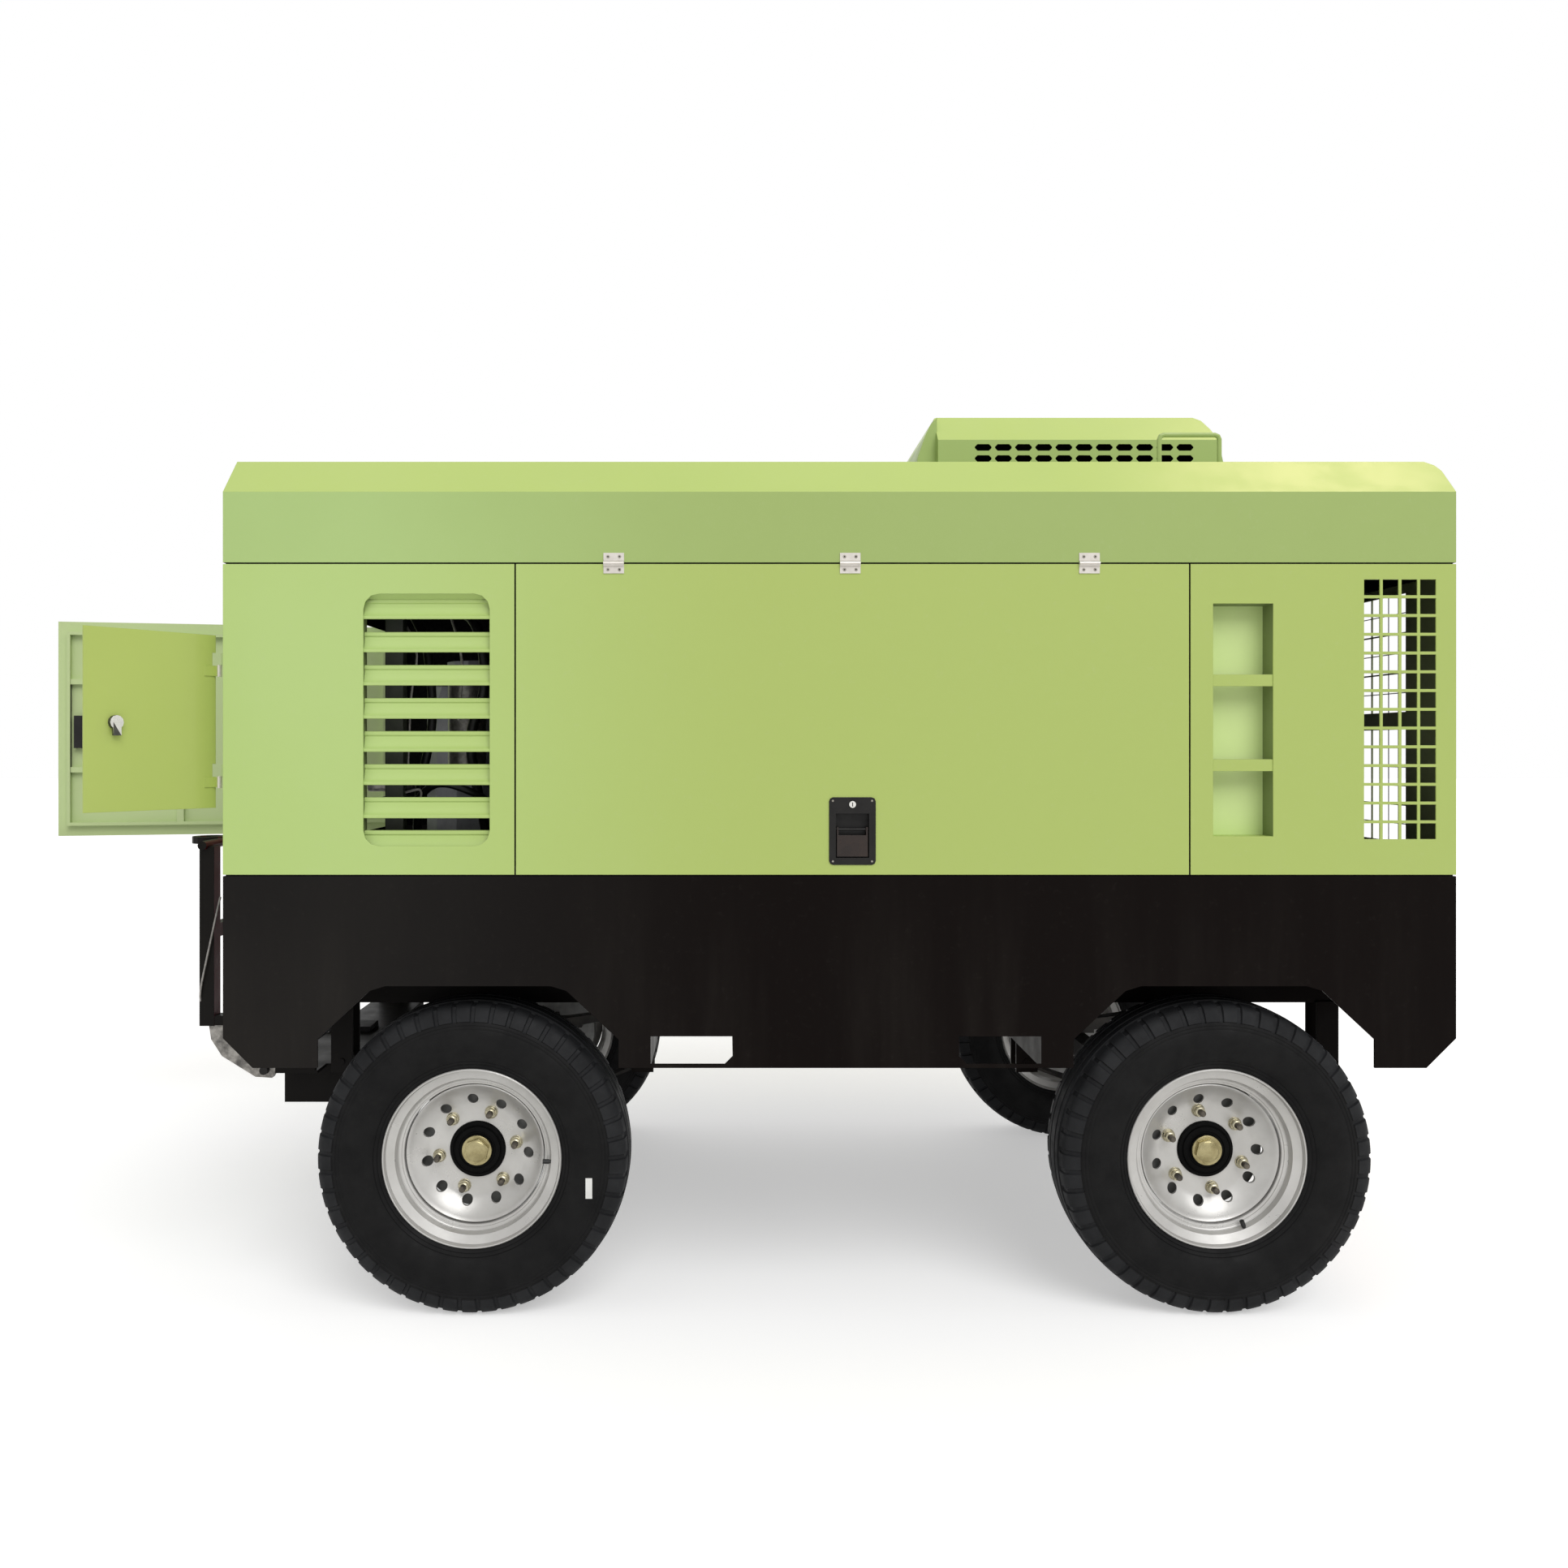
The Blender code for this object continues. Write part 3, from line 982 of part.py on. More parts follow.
fan_steps = []
for i in range(FAN_BLADES):
    angle = 2 * math.pi * i / FAN_BLADES
    spin = Matrix.Translation((FAN_X, 0, FAN_Z)) @ Matrix.Rotation(angle, 4, "X")
    blade = box(-0.003, 0.003, -0.055, 0.055, 0.060, FAN_RADIUS)
    fan_steps.append(("+", moved(blade, spin @ Matrix.Rotation(math.radians(35), 4, "Z"))))
fan_steps.append(("-", rod("X", (0, FAN_Z), 0.0248, FAN_X - 0.06, FAN_X + 0.06, 12)))
part("fan", PLASTIC, rod("X", (0, FAN_Z), 0.090, FAN_X - 0.025, FAN_X + 0.025, 16), fan_steps,
    (FAN_X, 0, FAN_Z))

shroud_x = FAN_X - 0.004
part("radiator", DARK_STEEL, box(*RADIATOR_X, -0.720, 0.720, FLOOR_TOP + GAP, 1.850), [
    ("+", box(shroud_x, RADIATOR_X[0] + 0.002, -0.700, 0.700, 0.920, 1.830)),
    ("-", box(shroud_x + 0.004, RADIATOR_X[0], -0.696, 0.696, 0.924, 1.826)),
    ("-", rod("X", (0, FAN_Z), FAN_RADIUS + 0.018, shroud_x - 0.01, shroud_x + 0.01, 20)),
])

part("airend", GREY, box(-0.760, -0.300, -0.200, 0.190, 1.020, 1.380), [
    ("+", rod("X", (0, 1.200), 0.250, -0.330, -0.200 - GAP, 16)),
    ("+", rod("X", (0.0, 1.270), 0.150, -0.800, -0.740, 14)),
    ("+", rod("Z", (-0.620, 0.0), 0.085, 1.360, 1.480, 12)),
    ("+", box(-0.700, -0.620, -0.260, 0.260, 1.000, 1.040)),
    ("+", boxes((-0.700, -0.620, -0.260, -0.200, FLOOR_TOP + GAP, 1.035),
        (-0.700, -0.620, 0.200, 0.260, FLOOR_TOP + GAP, 1.035))),
])
part("air_filter", BLACK, rod("X", (-0.300, 1.640), 0.130, -0.700, -0.280, 16), [
    ("+", rod("X", (-0.300, 1.640), 0.050, -0.290, -0.200, 12)),
    ("+", box(-0.660, -0.600, -0.330, 0.030, 1.484, 1.530)),
    ("+", box(-0.660, -0.580, -0.060, 0.060, 1.480 + GAP, 1.530)),
])


def upright(profile, x, y, sides=16):
    """A (radius, z) profile turned about an upright line."""
    shape = lathe(profile, (0, 0, 0), 1, sides)
    return moved(shape, Matrix.Translation((x, y, 0)) @ Matrix.Rotation(math.pi / 2, 4, "X"))


tank_z = (0.960, 1.700)
r = TANK_RADIUS
part("separator_tank", GREEN, upright([
    (0.0, tank_z[0]), (r * 0.6, tank_z[0] + 0.015), (r * 0.92, tank_z[0] + 0.06), (r, tank_z[0] + 0.12),
        (r, tank_z[1] - 0.12),
    (r * 0.92, tank_z[1] - 0.06), (0.170, tank_z[1] - 0.02), (0.170, tank_z[1] + 0.03),
        (0.0, tank_z[1] + 0.03)], TANK_X, TANK_Y), [
    ("+", boxes(*[(TANK_X + dx - 0.02, TANK_X + dx + 0.02, TANK_Y + dy - 0.02, TANK_Y + dy + 0.02,
        FLOOR_TOP + GAP, 1.08)
                  for dx, dy in ((0.205, 0), (-0.10, 0.18), (-0.10, -0.18))])),
])
fuel = (-0.300, 0.780, -0.860, -0.420, FLOOR_TOP + GAP, 1.060)
part("fuel_tank", BLACK, box(*fuel), [("+", rod("Z", (0.62, -0.78), 0.040, 1.055, 1.110, 12))])
part("battery", PLASTIC, box(-1.480, -1.130, -0.860, -0.640, FLOOR_TOP + GAP, 1.085), [
    ("+", prisms("Z", [circle(x, -0.75, 0.012, 8) for x in (-1.43, -1.18)], 1.080, 1.100)),
])
part("silencer", STEEL, rod("X", (0.450, 1.760), 0.110, 0.300, 0.900, 16), [
    ("+", rod("Z", (0.780, 0.345), 0.035, 1.760, 2.200, 12)),
    ("+", rod("Z", (0.600, 0.245), 0.035, MANIFOLD_TOP + GAP, 1.790, 12)),
    ("+", rod("Y", (0.600, 1.755), 0.030, 0.245, 0.400, 12)),
])

manifold_x = -1.430
part("outlet_pipe", STEEL, rod("X", (TANK_Y, 1.300), 0.026, manifold_x, TANK_X - TANK_RADIUS - GAP, 12), [
    ("+", rod("Y", (manifold_x, 1.300), 0.032, TANK_Y - 0.170, TANK_Y + 0.170, 12)),
    ("+", rod("X", (TANK_Y - 0.11, 1.300), 0.022, manifold_x - 0.100, manifold_x, 12)),
    ("+", rod("X", (TANK_Y + 0.11, 1.300), 0.022, manifold_x - 0.100, manifold_x, 12)),
    ("+", rod("Z", (manifold_x - 0.060, TANK_Y - 0.11), 0.010, 1.300, 1.342, 10)),
])
part("valve_lever", RED, rod("Z", (manifold_x - 0.060, TANK_Y - 0.11), 0.016, 1.3423, 1.3523, 10), [
    ("+", box(manifold_x - 0.060, manifold_x + 0.060, TANK_Y - 0.120, TANK_Y - 0.100, 1.3440, 1.3500)),
], (manifold_x - 0.060, TANK_Y - 0.11, 1.347))

# The origin is the middle of the whole at rest, on the ground.

bpy.context.view_layer.update()
graph = bpy.context.evaluated_depsgraph_get()
low, high = Vector((9, 9, 9)), Vector((-9, -9, -9))
for obj in parts.objects:
    shape = obj.evaluated_get(graph)
    for corner in shape.data.vertices:
        at = shape.matrix_world @ corner.co
        low = Vector(map(min, low, at))
        high = Vector(map(max, high, at))
shift = Vector((-(low.x + high.x) / 2, -(low.y + high.y) / 2, -low.z))
for obj in parts.objects:
    obj.location += shift
print("moved by", [round(v, 5) for v in shift], "size", [round(v, 4) for v in high - low])
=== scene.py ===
"""Looks of the towable screw compressor.

Paint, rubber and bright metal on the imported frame, and the small pieces that the frame leaves plain.
"""

import math

import bmesh
import bpy
from mathutils import Matrix, Vector


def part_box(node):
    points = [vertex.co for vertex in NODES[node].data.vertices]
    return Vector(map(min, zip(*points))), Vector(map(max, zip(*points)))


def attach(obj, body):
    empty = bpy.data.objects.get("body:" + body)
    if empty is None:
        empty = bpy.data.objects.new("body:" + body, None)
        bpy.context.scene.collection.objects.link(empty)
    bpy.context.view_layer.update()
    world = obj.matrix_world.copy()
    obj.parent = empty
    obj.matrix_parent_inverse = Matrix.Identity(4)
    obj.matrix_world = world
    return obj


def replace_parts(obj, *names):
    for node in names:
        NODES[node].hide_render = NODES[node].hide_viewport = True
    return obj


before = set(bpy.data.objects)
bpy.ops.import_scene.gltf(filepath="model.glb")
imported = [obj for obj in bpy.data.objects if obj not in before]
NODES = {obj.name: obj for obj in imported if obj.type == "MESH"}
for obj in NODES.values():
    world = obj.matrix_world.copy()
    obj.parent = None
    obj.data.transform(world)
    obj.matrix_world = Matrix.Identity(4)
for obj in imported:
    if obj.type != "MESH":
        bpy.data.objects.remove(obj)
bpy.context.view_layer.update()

# The body's own coordinates: its middle in plan, and heights that put the skirts' lower edge at SKIRT_LOW.
SKIRT_LOW = 0.618
skirt_near, skirt_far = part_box("skirt_near"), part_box("skirt_far")
CENTRE = Vector((
    (skirt_near[0].x + skirt_near[1].x) / 2, (skirt_near[0].y + skirt_far[1].y) / 2,
        skirt_near[0].z - SKIRT_LOW))
TO_ROW = Matrix.Translation(CENTRE)
END = (skirt_near[1].x - skirt_near[0].x) / 2
SIDE = (skirt_far[1].y - skirt_near[0].y) / 2


def body_box(node):
    """A node's box in the body's own coordinates."""
    low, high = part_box(node)
    return low - CENTRE, high - CENTRE


# Materials.


class Graph:
    """Short names for building one material's nodes."""

    def __init__(self, name):
        self.material = bpy.data.materials.new(name)
        self.material.use_nodes = True
        self.tree = self.material.node_tree
        self.shader = self.tree.nodes["Principled BSDF"]
        self.place = self.add("ShaderNodeTexCoord").outputs["Object"]

    def add(self, kind, **values):
        node = self.tree.nodes.new(kind)
        for key, value in values.items():
            setattr(node, key, value)
        return node

    def link(self, source, target):
        self.tree.links.new(source, target)

    def noise(self, scale, detail=3.0, rough=0.55, stretch=None, kind="ShaderNodeTexNoise"):
        node = self.add(kind)
        node.inputs["Scale"].default_value = scale
        if "Detail" in node.inputs:
            node.inputs["Detail"].default_value = detail
        if "Roughness" in node.inputs and kind == "ShaderNodeTexNoise":
            node.inputs["Roughness"].default_value = rough
        source = self.place
        if stretch:
            mapping = self.add("ShaderNodeMapping")
            mapping.inputs["Scale"].default_value = stretch
            self.link(source, mapping.inputs["Vector"])
            source = mapping.outputs["Vector"]
        self.link(source, node.inputs["Vector"])
        return node.outputs[0]

    def ramp(self, source, low, high, a=0.0, b=1.0):
        """source from low..high to a..b, smoothly and held at the ends."""
        node = self.add("ShaderNodeMapRange", interpolation_type="SMOOTHSTEP")
        for socket, value in zip(node.inputs[1:5], (low, high, a, b)):
            socket.default_value = value
        self.link(source, node.inputs["Value"])
        return node.outputs["Result"]

    def axis(self, name):
        node = self.add("ShaderNodeSeparateXYZ")
        self.link(self.place, node.inputs[0])
        return node.outputs[name]

    def product(self, a, b):
        node = self.add("ShaderNodeMath", operation="MULTIPLY")
        for socket, value in zip(node.inputs, (a, b)):
            if isinstance(value, (int, float)):
                socket.default_value = value
            else:
                self.link(value, socket)
        return node.outputs[0]

    def mix(self, factor, a, b):
        node = self.add("ShaderNodeMix", data_type="RGBA")
        for key, value in ((0, factor), (6, a), (7, b)):
            if isinstance(value, (int, float)):
                node.inputs[key].default_value = value
            elif isinstance(value, tuple):
                node.inputs[key].default_value = (*value, 1)
            else:
                self.link(value, node.inputs[key])
        return node.outputs[2]

    def finish(self, colour, rough, bump=None, height=0.0002, edge=0.0, metal=0.0, specular=0.5):
        self.link(colour, self.shader.inputs["Base Color"])
        self.link(rough, self.shader.inputs["Roughness"])
        self.shader.inputs["Metallic"].default_value = metal
        self.shader.inputs["Specular IOR Level"].default_value = specular
        normal = None
        if edge:
            bevel = self.add("ShaderNodeBevel", samples=4)
            bevel.inputs["Radius"].default_value = edge
            normal = bevel.outputs["Normal"]
        if bump is not None:
            node = self.add("ShaderNodeBump")
            node.inputs["Strength"].default_value = 1.0
            node.inputs["Distance"].default_value = height
            self.link(bump, node.inputs["Height"])
            if normal is not None:
                self.link(normal, node.inputs["Normal"])
            normal = node.outputs["Normal"]
        if normal is not None:
            self.link(normal, self.shader.inputs["Normal"])
        return self.material


def paint(name, fresh, faded, dusty, rough, edge=0.0015, dust=0.25, peel=0.00012, gloss=0.5, middle=None,
    low=None):
    """Sprayed sheet metal: close shades, a little dust low down, fine orange peel.

    middle is a colour blended in past mid-length (on the chassis black a painted dark reflection), and low a
    colour blended in over the lowest stretch.
    """
    g = Graph(name)
    shade = g.mix(g.ramp(g.noise(1.1, 3), 0.35, 0.65), fresh, faded)
    if middle:
        shade = g.mix(g.ramp(g.axis("X"), -0.75, 0.45), shade, middle)
    if low:
        shade = g.mix(g.ramp(g.axis("Z"), 1.25, 0.88), shade, low)
    specks = g.ramp(g.noise(55, 6, 0.7), 0.56, 0.74)
    low_down = g.ramp(g.axis("Z"), 1.35, 0.6)
    streaks = g.ramp(g.noise(6, 5, 0.6, (1.0, 1.0, 0.12)), 0.42, 0.75)
    grime = g.product(g.product(low_down, streaks), dust)
    colour = g.mix(grime, g.mix(g.product(specks, 0.10), shade, dusty), dusty)
    roughness = g.ramp(g.noise(9, 5, 0.65), 0.3, 0.7, rough - 0.05, rough + 0.07)
    return g.finish(colour, roughness, g.noise(330, 2), peel, edge, 0.0, gloss)


def plain(name, dark, light, rough, metal=0.0, scale=12.0, bump=0.0002, edge=0.0, stretch=None, spread=0.08,
    fine=240.0,
          gloss=0.5):
    """A finish between two close colours, with uneven gloss and a fine grain."""
    g = Graph(name)
    colour = g.mix(g.ramp(g.noise(scale, 5, 0.62, stretch), 0.3, 0.7), dark, light)
    roughness = g.ramp(g.noise(scale * 2.3, 4, 0.6, stretch), 0.3, 0.7, max(rough - spread, 0.04),
        min(rough + spread, 1.0))
    return g.finish(colour, roughness, g.noise(fine, 3, 0.6, stretch), bump, edge, metal, gloss)


GREEN = paint("green_paint", (0.462, 0.622, 0.200), (0.478, 0.640, 0.222), (0.50, 0.56, 0.33), 0.44,
    middle=(0.425, 0.535, 0.138))
ROOF_GREEN = paint("roof_green_paint", (0.405, 0.560, 0.195), (0.430, 0.590, 0.215), (0.48, 0.55, 0.31),
    0.40, middle=(0.350, 0.465, 0.140))
# The sloped and upward faces of the roof and hood take a lighter, yellower copy of the roof green: painted
# light.
LIT_SLOPE_GREEN = paint("roof_slope_painted_light", (0.445, 0.580, 0.140), (0.465, 0.600, 0.155), (0.52, 0.60, 0.30),
    0.34, gloss=0.6)
# The recess's back wall takes a lighter copy of the green: painted light.
LIT_RECESS_GREEN = paint("recess_painted_light", (0.640, 0.810, 0.315), (0.670, 0.830, 0.345), (0.52, 0.60, 0.35), 0.45)
# A dark copy of the green for the recess's inturned walls and the louvre's side walls: painted shade.
PAINTED_SHADE_GREEN = paint("green_painted_shade", (0.150, 0.200, 0.070), (0.180, 0.230, 0.085), (0.25, 0.28, 0.15),
    0.50)
BRIGHT_GREEN = paint("control_door_paint", (0.440, 0.545, 0.130), (0.465, 0.570, 0.145), (0.45, 0.48, 0.22),
    0.42)
INNER_GREEN = paint("inner_green_paint", (0.480, 0.590, 0.285), (0.510, 0.620, 0.305), (0.40, 0.44, 0.28),
    0.50, low=(0.330, 0.415, 0.145))
# The rear grille's inner and window-side faces take a dark copy of the green: painted shade.
SHADED_GRILLE_GREEN = paint("grille_green_painted_shade", (0.150, 0.185, 0.072), (0.190, 0.225, 0.095), (0.14, 0.15, 0.09), 0.50)
# The chassis black turns darker and browner past mid-length: a painted dark reflection on the glossy skirts.
BLACK = paint("chassis_black", (0.0125, 0.0115, 0.0110), (0.0160, 0.0145, 0.0135), (0.045, 0.040, 0.035),
    0.40, dust=0.20, gloss=0.05,
              middle=(0.0045, 0.0028, 0.0024))
AXLE_BLACK = paint("axle_black", (0.008, 0.008, 0.008), (0.014, 0.013, 0.013), (0.05, 0.045, 0.04), 0.55,
    dust=0.4, gloss=0.25)
SPRING_STEEL = plain("spring_steel", (0.014, 0.013, 0.012), (0.045, 0.040, 0.035), 0.58, 0.35, 14,
    stretch=(1, 6, 1))
WARM_RED = paint("drawbar_red", (0.085, 0.010, 0.014), (0.125, 0.014, 0.020), (0.16, 0.06, 0.05), 0.42,
    gloss=0.3)
WORN_STEEL = plain("worn_steel", (0.10, 0.095, 0.09), (0.42, 0.40, 0.37), 0.5, 0.6, 30, 0.0004)
RUBBER = plain("tyre_rubber", (0.0050, 0.0050, 0.0053), (0.0085, 0.0084, 0.0086), 0.60, 0.0, 9, 0.0003,
    spread=0.10, gloss=0.12)
TREAD = plain("tread_rubber", (0.0105, 0.0108, 0.0118), (0.0190, 0.0196, 0.0212), 0.62, 0.0, 9, 0.0003,
    spread=0.10, gloss=0.15)
HOSE = plain("hose_rubber", (0.006, 0.006, 0.006), (0.013, 0.013, 0.013), 0.45, 0.0, 20, gloss=0.4)
SILVER = plain("wheel_silver", (0.45, 0.442, 0.425), (0.56, 0.552, 0.535), 0.34, 0.42, 5, 0.00006,
    edge=0.0008, fine=500)
ZINC = plain("nut_zinc", (0.36, 0.33, 0.23), (0.58, 0.54, 0.40), 0.28, 0.95, 40, 0.0001)
GOLD = plain("cap_zinc", (0.26, 0.22, 0.11), (0.40, 0.35, 0.19), 0.26, 0.95, 25, 0.0001, edge=0.001)
STUD = plain("stud_steel", (0.055, 0.050, 0.045), (0.16, 0.14, 0.11), 0.42, 0.8, 40)
HUB = plain("hub_black", (0.0016, 0.0016, 0.0016), (0.004, 0.004, 0.004), 0.35, 0.0, 16, gloss=0.05)
CAST = plain("drum_cast", (0.22, 0.22, 0.215), (0.32, 0.32, 0.31), 0.6, 0.4, 18, 0.0005)
BRIGHT = plain("bright_steel", (0.66, 0.65, 0.62), (0.76, 0.75, 0.72), 0.30, 0.7, 30, 0.0001, edge=0.0006)
HINGE = plain("hinge_steel", (0.66, 0.62, 0.57), (0.74, 0.70, 0.65), 0.34, 0.35, 45, 0.00006, edge=0.0005,
    spread=0.05)
SCREW = plain("screw_steel", (0.30, 0.28, 0.24), (0.46, 0.43, 0.38), 0.34, 0.8, 60, 0.00005)
DARK_SLOT = plain("slot_dark", (0.006, 0.006, 0.006), (0.014, 0.013, 0.012), 0.6, 0.0, 60, gloss=0.1)
LATCH = plain("latch_black", (0.0055, 0.0050, 0.0048), (0.0110, 0.0100, 0.0095), 0.38, 0.0, 22, 0.0002,
    edge=0.0008, gloss=0.25)
PADDLE = plain("paddle_brown", (0.014, 0.0085, 0.0070), (0.026, 0.0150, 0.0115), 0.34, 0.0, 25, 0.0002,
    edge=0.0008, gloss=0.35)
CAM_DARK = plain("cam_dark", (0.05, 0.05, 0.045), (0.11, 0.105, 0.10), 0.4, 0.6, 30, edge=0.0006)
GREY_MACHINE = plain("machine_grey", (0.090, 0.095, 0.10), (0.15, 0.155, 0.16), 0.5, 0.15, 6, 0.0006,
    edge=0.003)
# Grey-green darkened to near black for the posts behind the louvre: painted shade.
SHADED_POST_GREEN = plain("post_painted_shade", (0.022, 0.027, 0.017), (0.036, 0.042, 0.026), 0.5, 0.0, 8, 0.0003)
DARK_MACHINE = plain("machine_black", (0.008, 0.008, 0.008), (0.016, 0.016, 0.016), 0.5, 0.0, 8, 0.0004,
    edge=0.003, gloss=0.3)
HEAT_STEEL = plain("silencer_steel", (0.20, 0.18, 0.16), (0.42, 0.40, 0.37), 0.45, 0.7, 7, 0.0004)
FIN = plain("cooler_fins", (0.030, 0.032, 0.032), (0.06, 0.06, 0.06), 0.5, 0.7, 40, 0.0008)
FAN_PLASTIC = plain("fan_plastic", (0.020, 0.022, 0.024), (0.034, 0.036, 0.038), 0.45, 0.0, 10)
# Black foam lining of the canopy; on the hood's inner faces the same black is painted shade.
LINING_AND_SHADE = plain("lining_foam_and_painted_shade", (0.0030, 0.0030, 0.0030), (0.0080, 0.0080, 0.0080), 0.95, 0.0, 60, 0.003,
    fine=60, gloss=0.05)
SEAL = plain("seal_rubber", (0.0025, 0.0025, 0.0025), (0.0055, 0.0055, 0.0055), 0.75, 0.0, 60, 0.0003,
    gloss=0.05)
CABINET = plain("cabinet_grey", (0.46, 0.47, 0.47), (0.52, 0.53, 0.53), 0.48, 0.0, 5, 0.0002, edge=0.001)
STOP_RED = plain("stop_red", (0.50, 0.018, 0.014), (0.58, 0.026, 0.018), 0.32, 0.0, 12, 0.0001)
LEVER_RED = plain("lever_red", (0.40, 0.020, 0.016), (0.48, 0.030, 0.020), 0.4, 0.0, 12, 0.0002)
LABEL = plain("label_white", (0.74, 0.74, 0.72), (0.82, 0.82, 0.80), 0.5, 0.0, 30, 0.0001)
SCREEN = plain("display_dark", (0.015, 0.020, 0.024), (0.022, 0.028, 0.032), 0.18, 0.0, 5, 0.00002)
DIAL = plain("dial_white", (0.70, 0.70, 0.68), (0.78, 0.78, 0.76), 0.4, 0.0, 20, 0.0001)
CABLE = plain("cable_grey", (0.20, 0.19, 0.18), (0.36, 0.34, 0.32), 0.4, 0.6, 60, 0.0002)
BATTERY = plain("battery_case", (0.012, 0.013, 0.016), (0.024, 0.025, 0.028), 0.4, 0.0, 12)


def finish_node(name, material, *zones):
    """One material over a frame node, then one for each zone.

    A zone is a material and a test of a face's centre and normal in body coordinates.
    """
    mesh, place = NODES[name].data, NODES[name].matrix_world
    mesh.materials.clear()
    mesh.materials.append(material)
    for face in mesh.polygons:
        face.material_index = 0
    for look, test in zones:
        mesh.materials.append(look)
        index = len(mesh.materials) - 1
        for face in mesh.polygons:
            if test(place @ face.center - CENTRE, place.to_3x3() @ face.normal):
                face.material_index = index


# Shapes are gathered as plain lists in body coordinates and made into one mesh each.


def placed(axis, a, b, along):
    return {"X": (along, a, b), "Y": (a, along, b), "Z": (a, b, along)}[axis]


class Shape:
    def __init__(self):
        self.verts, self.faces = [], []

    def add(self, verts, faces):
        first = len(self.verts)
        self.verts += [tuple(v) for v in verts]
        self.faces += [[first + i for i in face] for face in faces]
        return self

    def box(self, x0, x1, y0, y1, z0, z1):
        corners = [(x, y, z) for x in (x0, x1) for y in (y0, y1) for z in (z0, z1)]
        return self.add(corners, [(0, 1, 3, 2), (4, 6, 7, 5), (0, 4, 5, 1), (2, 3, 7, 6), (0, 2, 6, 4),
            (1, 5, 7, 3)])

    def prism(self, axis, outline, start, end):
        n = len(outline)
        verts = [placed(axis, a, b, along) for along in (start, end) for a, b in outline]
        sides = [(i, (i + 1) % n, n + (i + 1) % n, n + i) for i in range(n)]
        return self.add(verts, [tuple(range(n)), tuple(range(2 * n - 1, n - 1, -1)), *sides])

    def rod(self, axis, centre, radius, start, end, sides=20, tip=None, turn=0.0):
        tip = radius if tip is None else tip
        rings = []
        for r, along in ((radius, start), (tip, end)):
            for i in range(sides):
                angle = turn + 2 * math.pi * i / sides
                rings.append(placed(axis, centre[0] + r * math.cos(angle), centre[1] + r * math.sin(angle),
                    along))
        side = [(i, (i + 1) % sides, sides + (i + 1) % sides, sides + i) for i in range(sides)]
        return self.add(rings, [tuple(range(sides)), tuple(range(2 * sides - 1, sides - 1, -1)), *side])

    def lathe(self, profile, sides, open_ends=False, turn=0.0):
        """A closed (radius, outward) profile about the wheel's own axis, which runs along -Y."""
        count = len(profile)
        verts, faces = [], []
        for i in range(sides):
            angle = turn + 2 * math.pi * i / sides
            verts += [(r * math.cos(angle), -t, r * math.sin(angle)) for r, t in profile]
        for i in range(sides):
            for j in range(count - 1 if open_ends else count):
                k = (j + 1) % count
                here, after = i * count, ((i + 1) % sides) * count
                faces.append((here + j, here + k, after + k, after + j))
        return self.add(verts, faces)

    def tube(self, points, radius, sides=10):
        """A round bar through the points, with round bends."""
        path = smooth(points)
        rings = []
        across = None
        for i, here in enumerate(path):
            along = (path[min(i + 1, len(path) - 1)] - path[max(i - 1, 0)]).normalized()
            if across is None:
                across = along.orthogonal().normalized()
            across = (across - along * across.dot(along)).normalized()
            other = along.cross(across)
            for k in range(sides):
                angle = 2 * math.pi * k / sides
                rings.append(here + (across * math.cos(angle) + other * math.sin(angle)) * radius)
        faces = []
        for i in range(len(path) - 1):
            for k in range(sides):
                n = (k + 1) % sides
                faces.append((i * sides + k, i * sides + n, (i + 1) * sides + n, (i + 1) * sides + k))
        last = (len(path) - 1) * sides
        faces += [tuple(range(sides)), tuple(last + k for k in range(sides - 1, -1, -1))]
        return self.add(rings, faces)

    def moved(self, matrix):
        self.verts = [tuple(matrix @ Vector(v)) for v in self.verts]
        return self

    def join(self, other):
        return self.add(other.verts, other.faces)


def smooth(points, steps=6):
    """Points along a rounded curve through the given ones."""
    p = [Vector(q) for q in points]
    if len(p) < 3:
        return p
    p = [2 * p[0] - p[1], *p, 2 * p[-1] - p[-2]]
    found = []
    for i in range(1, len(p) - 2):
        for k in range(steps):
            t = k / steps
            a, b, c, d = p[i - 1], p[i], p[i + 1], p[i + 2]
            bend, twist = 2 * a - 5 * b + 4 * c - d, 3 * b - a - 3 * c + d
            found.append(0.5 * (2 * b + (c - a) * t + bend * t * t + twist * t ** 3))
    return [*found, p[-2]]


def mesh_of(name, shape, materials, which=None, angle=35):
    mesh = bpy.data.meshes.new(name)
    mesh.from_pydata(shape.verts, [], shape.faces)
    for look in materials:
        mesh.materials.append(look)
    if which:
        for face, index in zip(mesh.polygons, which):
            face.material_index = index
    mesh.validate()
    clean(mesh)
    for face in mesh.polygons:
        face.use_smooth = True
    mesh.set_sharp_from_angle(angle=math.radians(angle))
    return mesh


def clean(mesh):
    """Turn every face outward."""
    bm = bmesh.new()
    bm.from_mesh(mesh)
    bmesh.ops.recalc_face_normals(bm, faces=bm.faces)
    bm.to_mesh(mesh)
    bm.free()


def piece(name, shape, material, body, at=TO_ROW, angle=35, bevel=0.0):
    """A visible piece on a body; the shape's coordinates are the body's own unless at says otherwise."""
    mesh = shape if isinstance(shape, bpy.types.Mesh) else mesh_of(name, shape, [material], angle=angle)
    mesh.transform(at)
    made = bpy.data.objects.new(name, mesh)
    bpy.context.scene.collection.objects.link(made)
    if bevel:
        edge = made.modifiers.new("edge", "BEVEL")
        edge.width, edge.segments, edge.limit_method, edge.angle_limit = bevel, 2, "ANGLE", math.radians(40)
    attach(made, body)
    return made


# Finishes of the frame's own nodes.

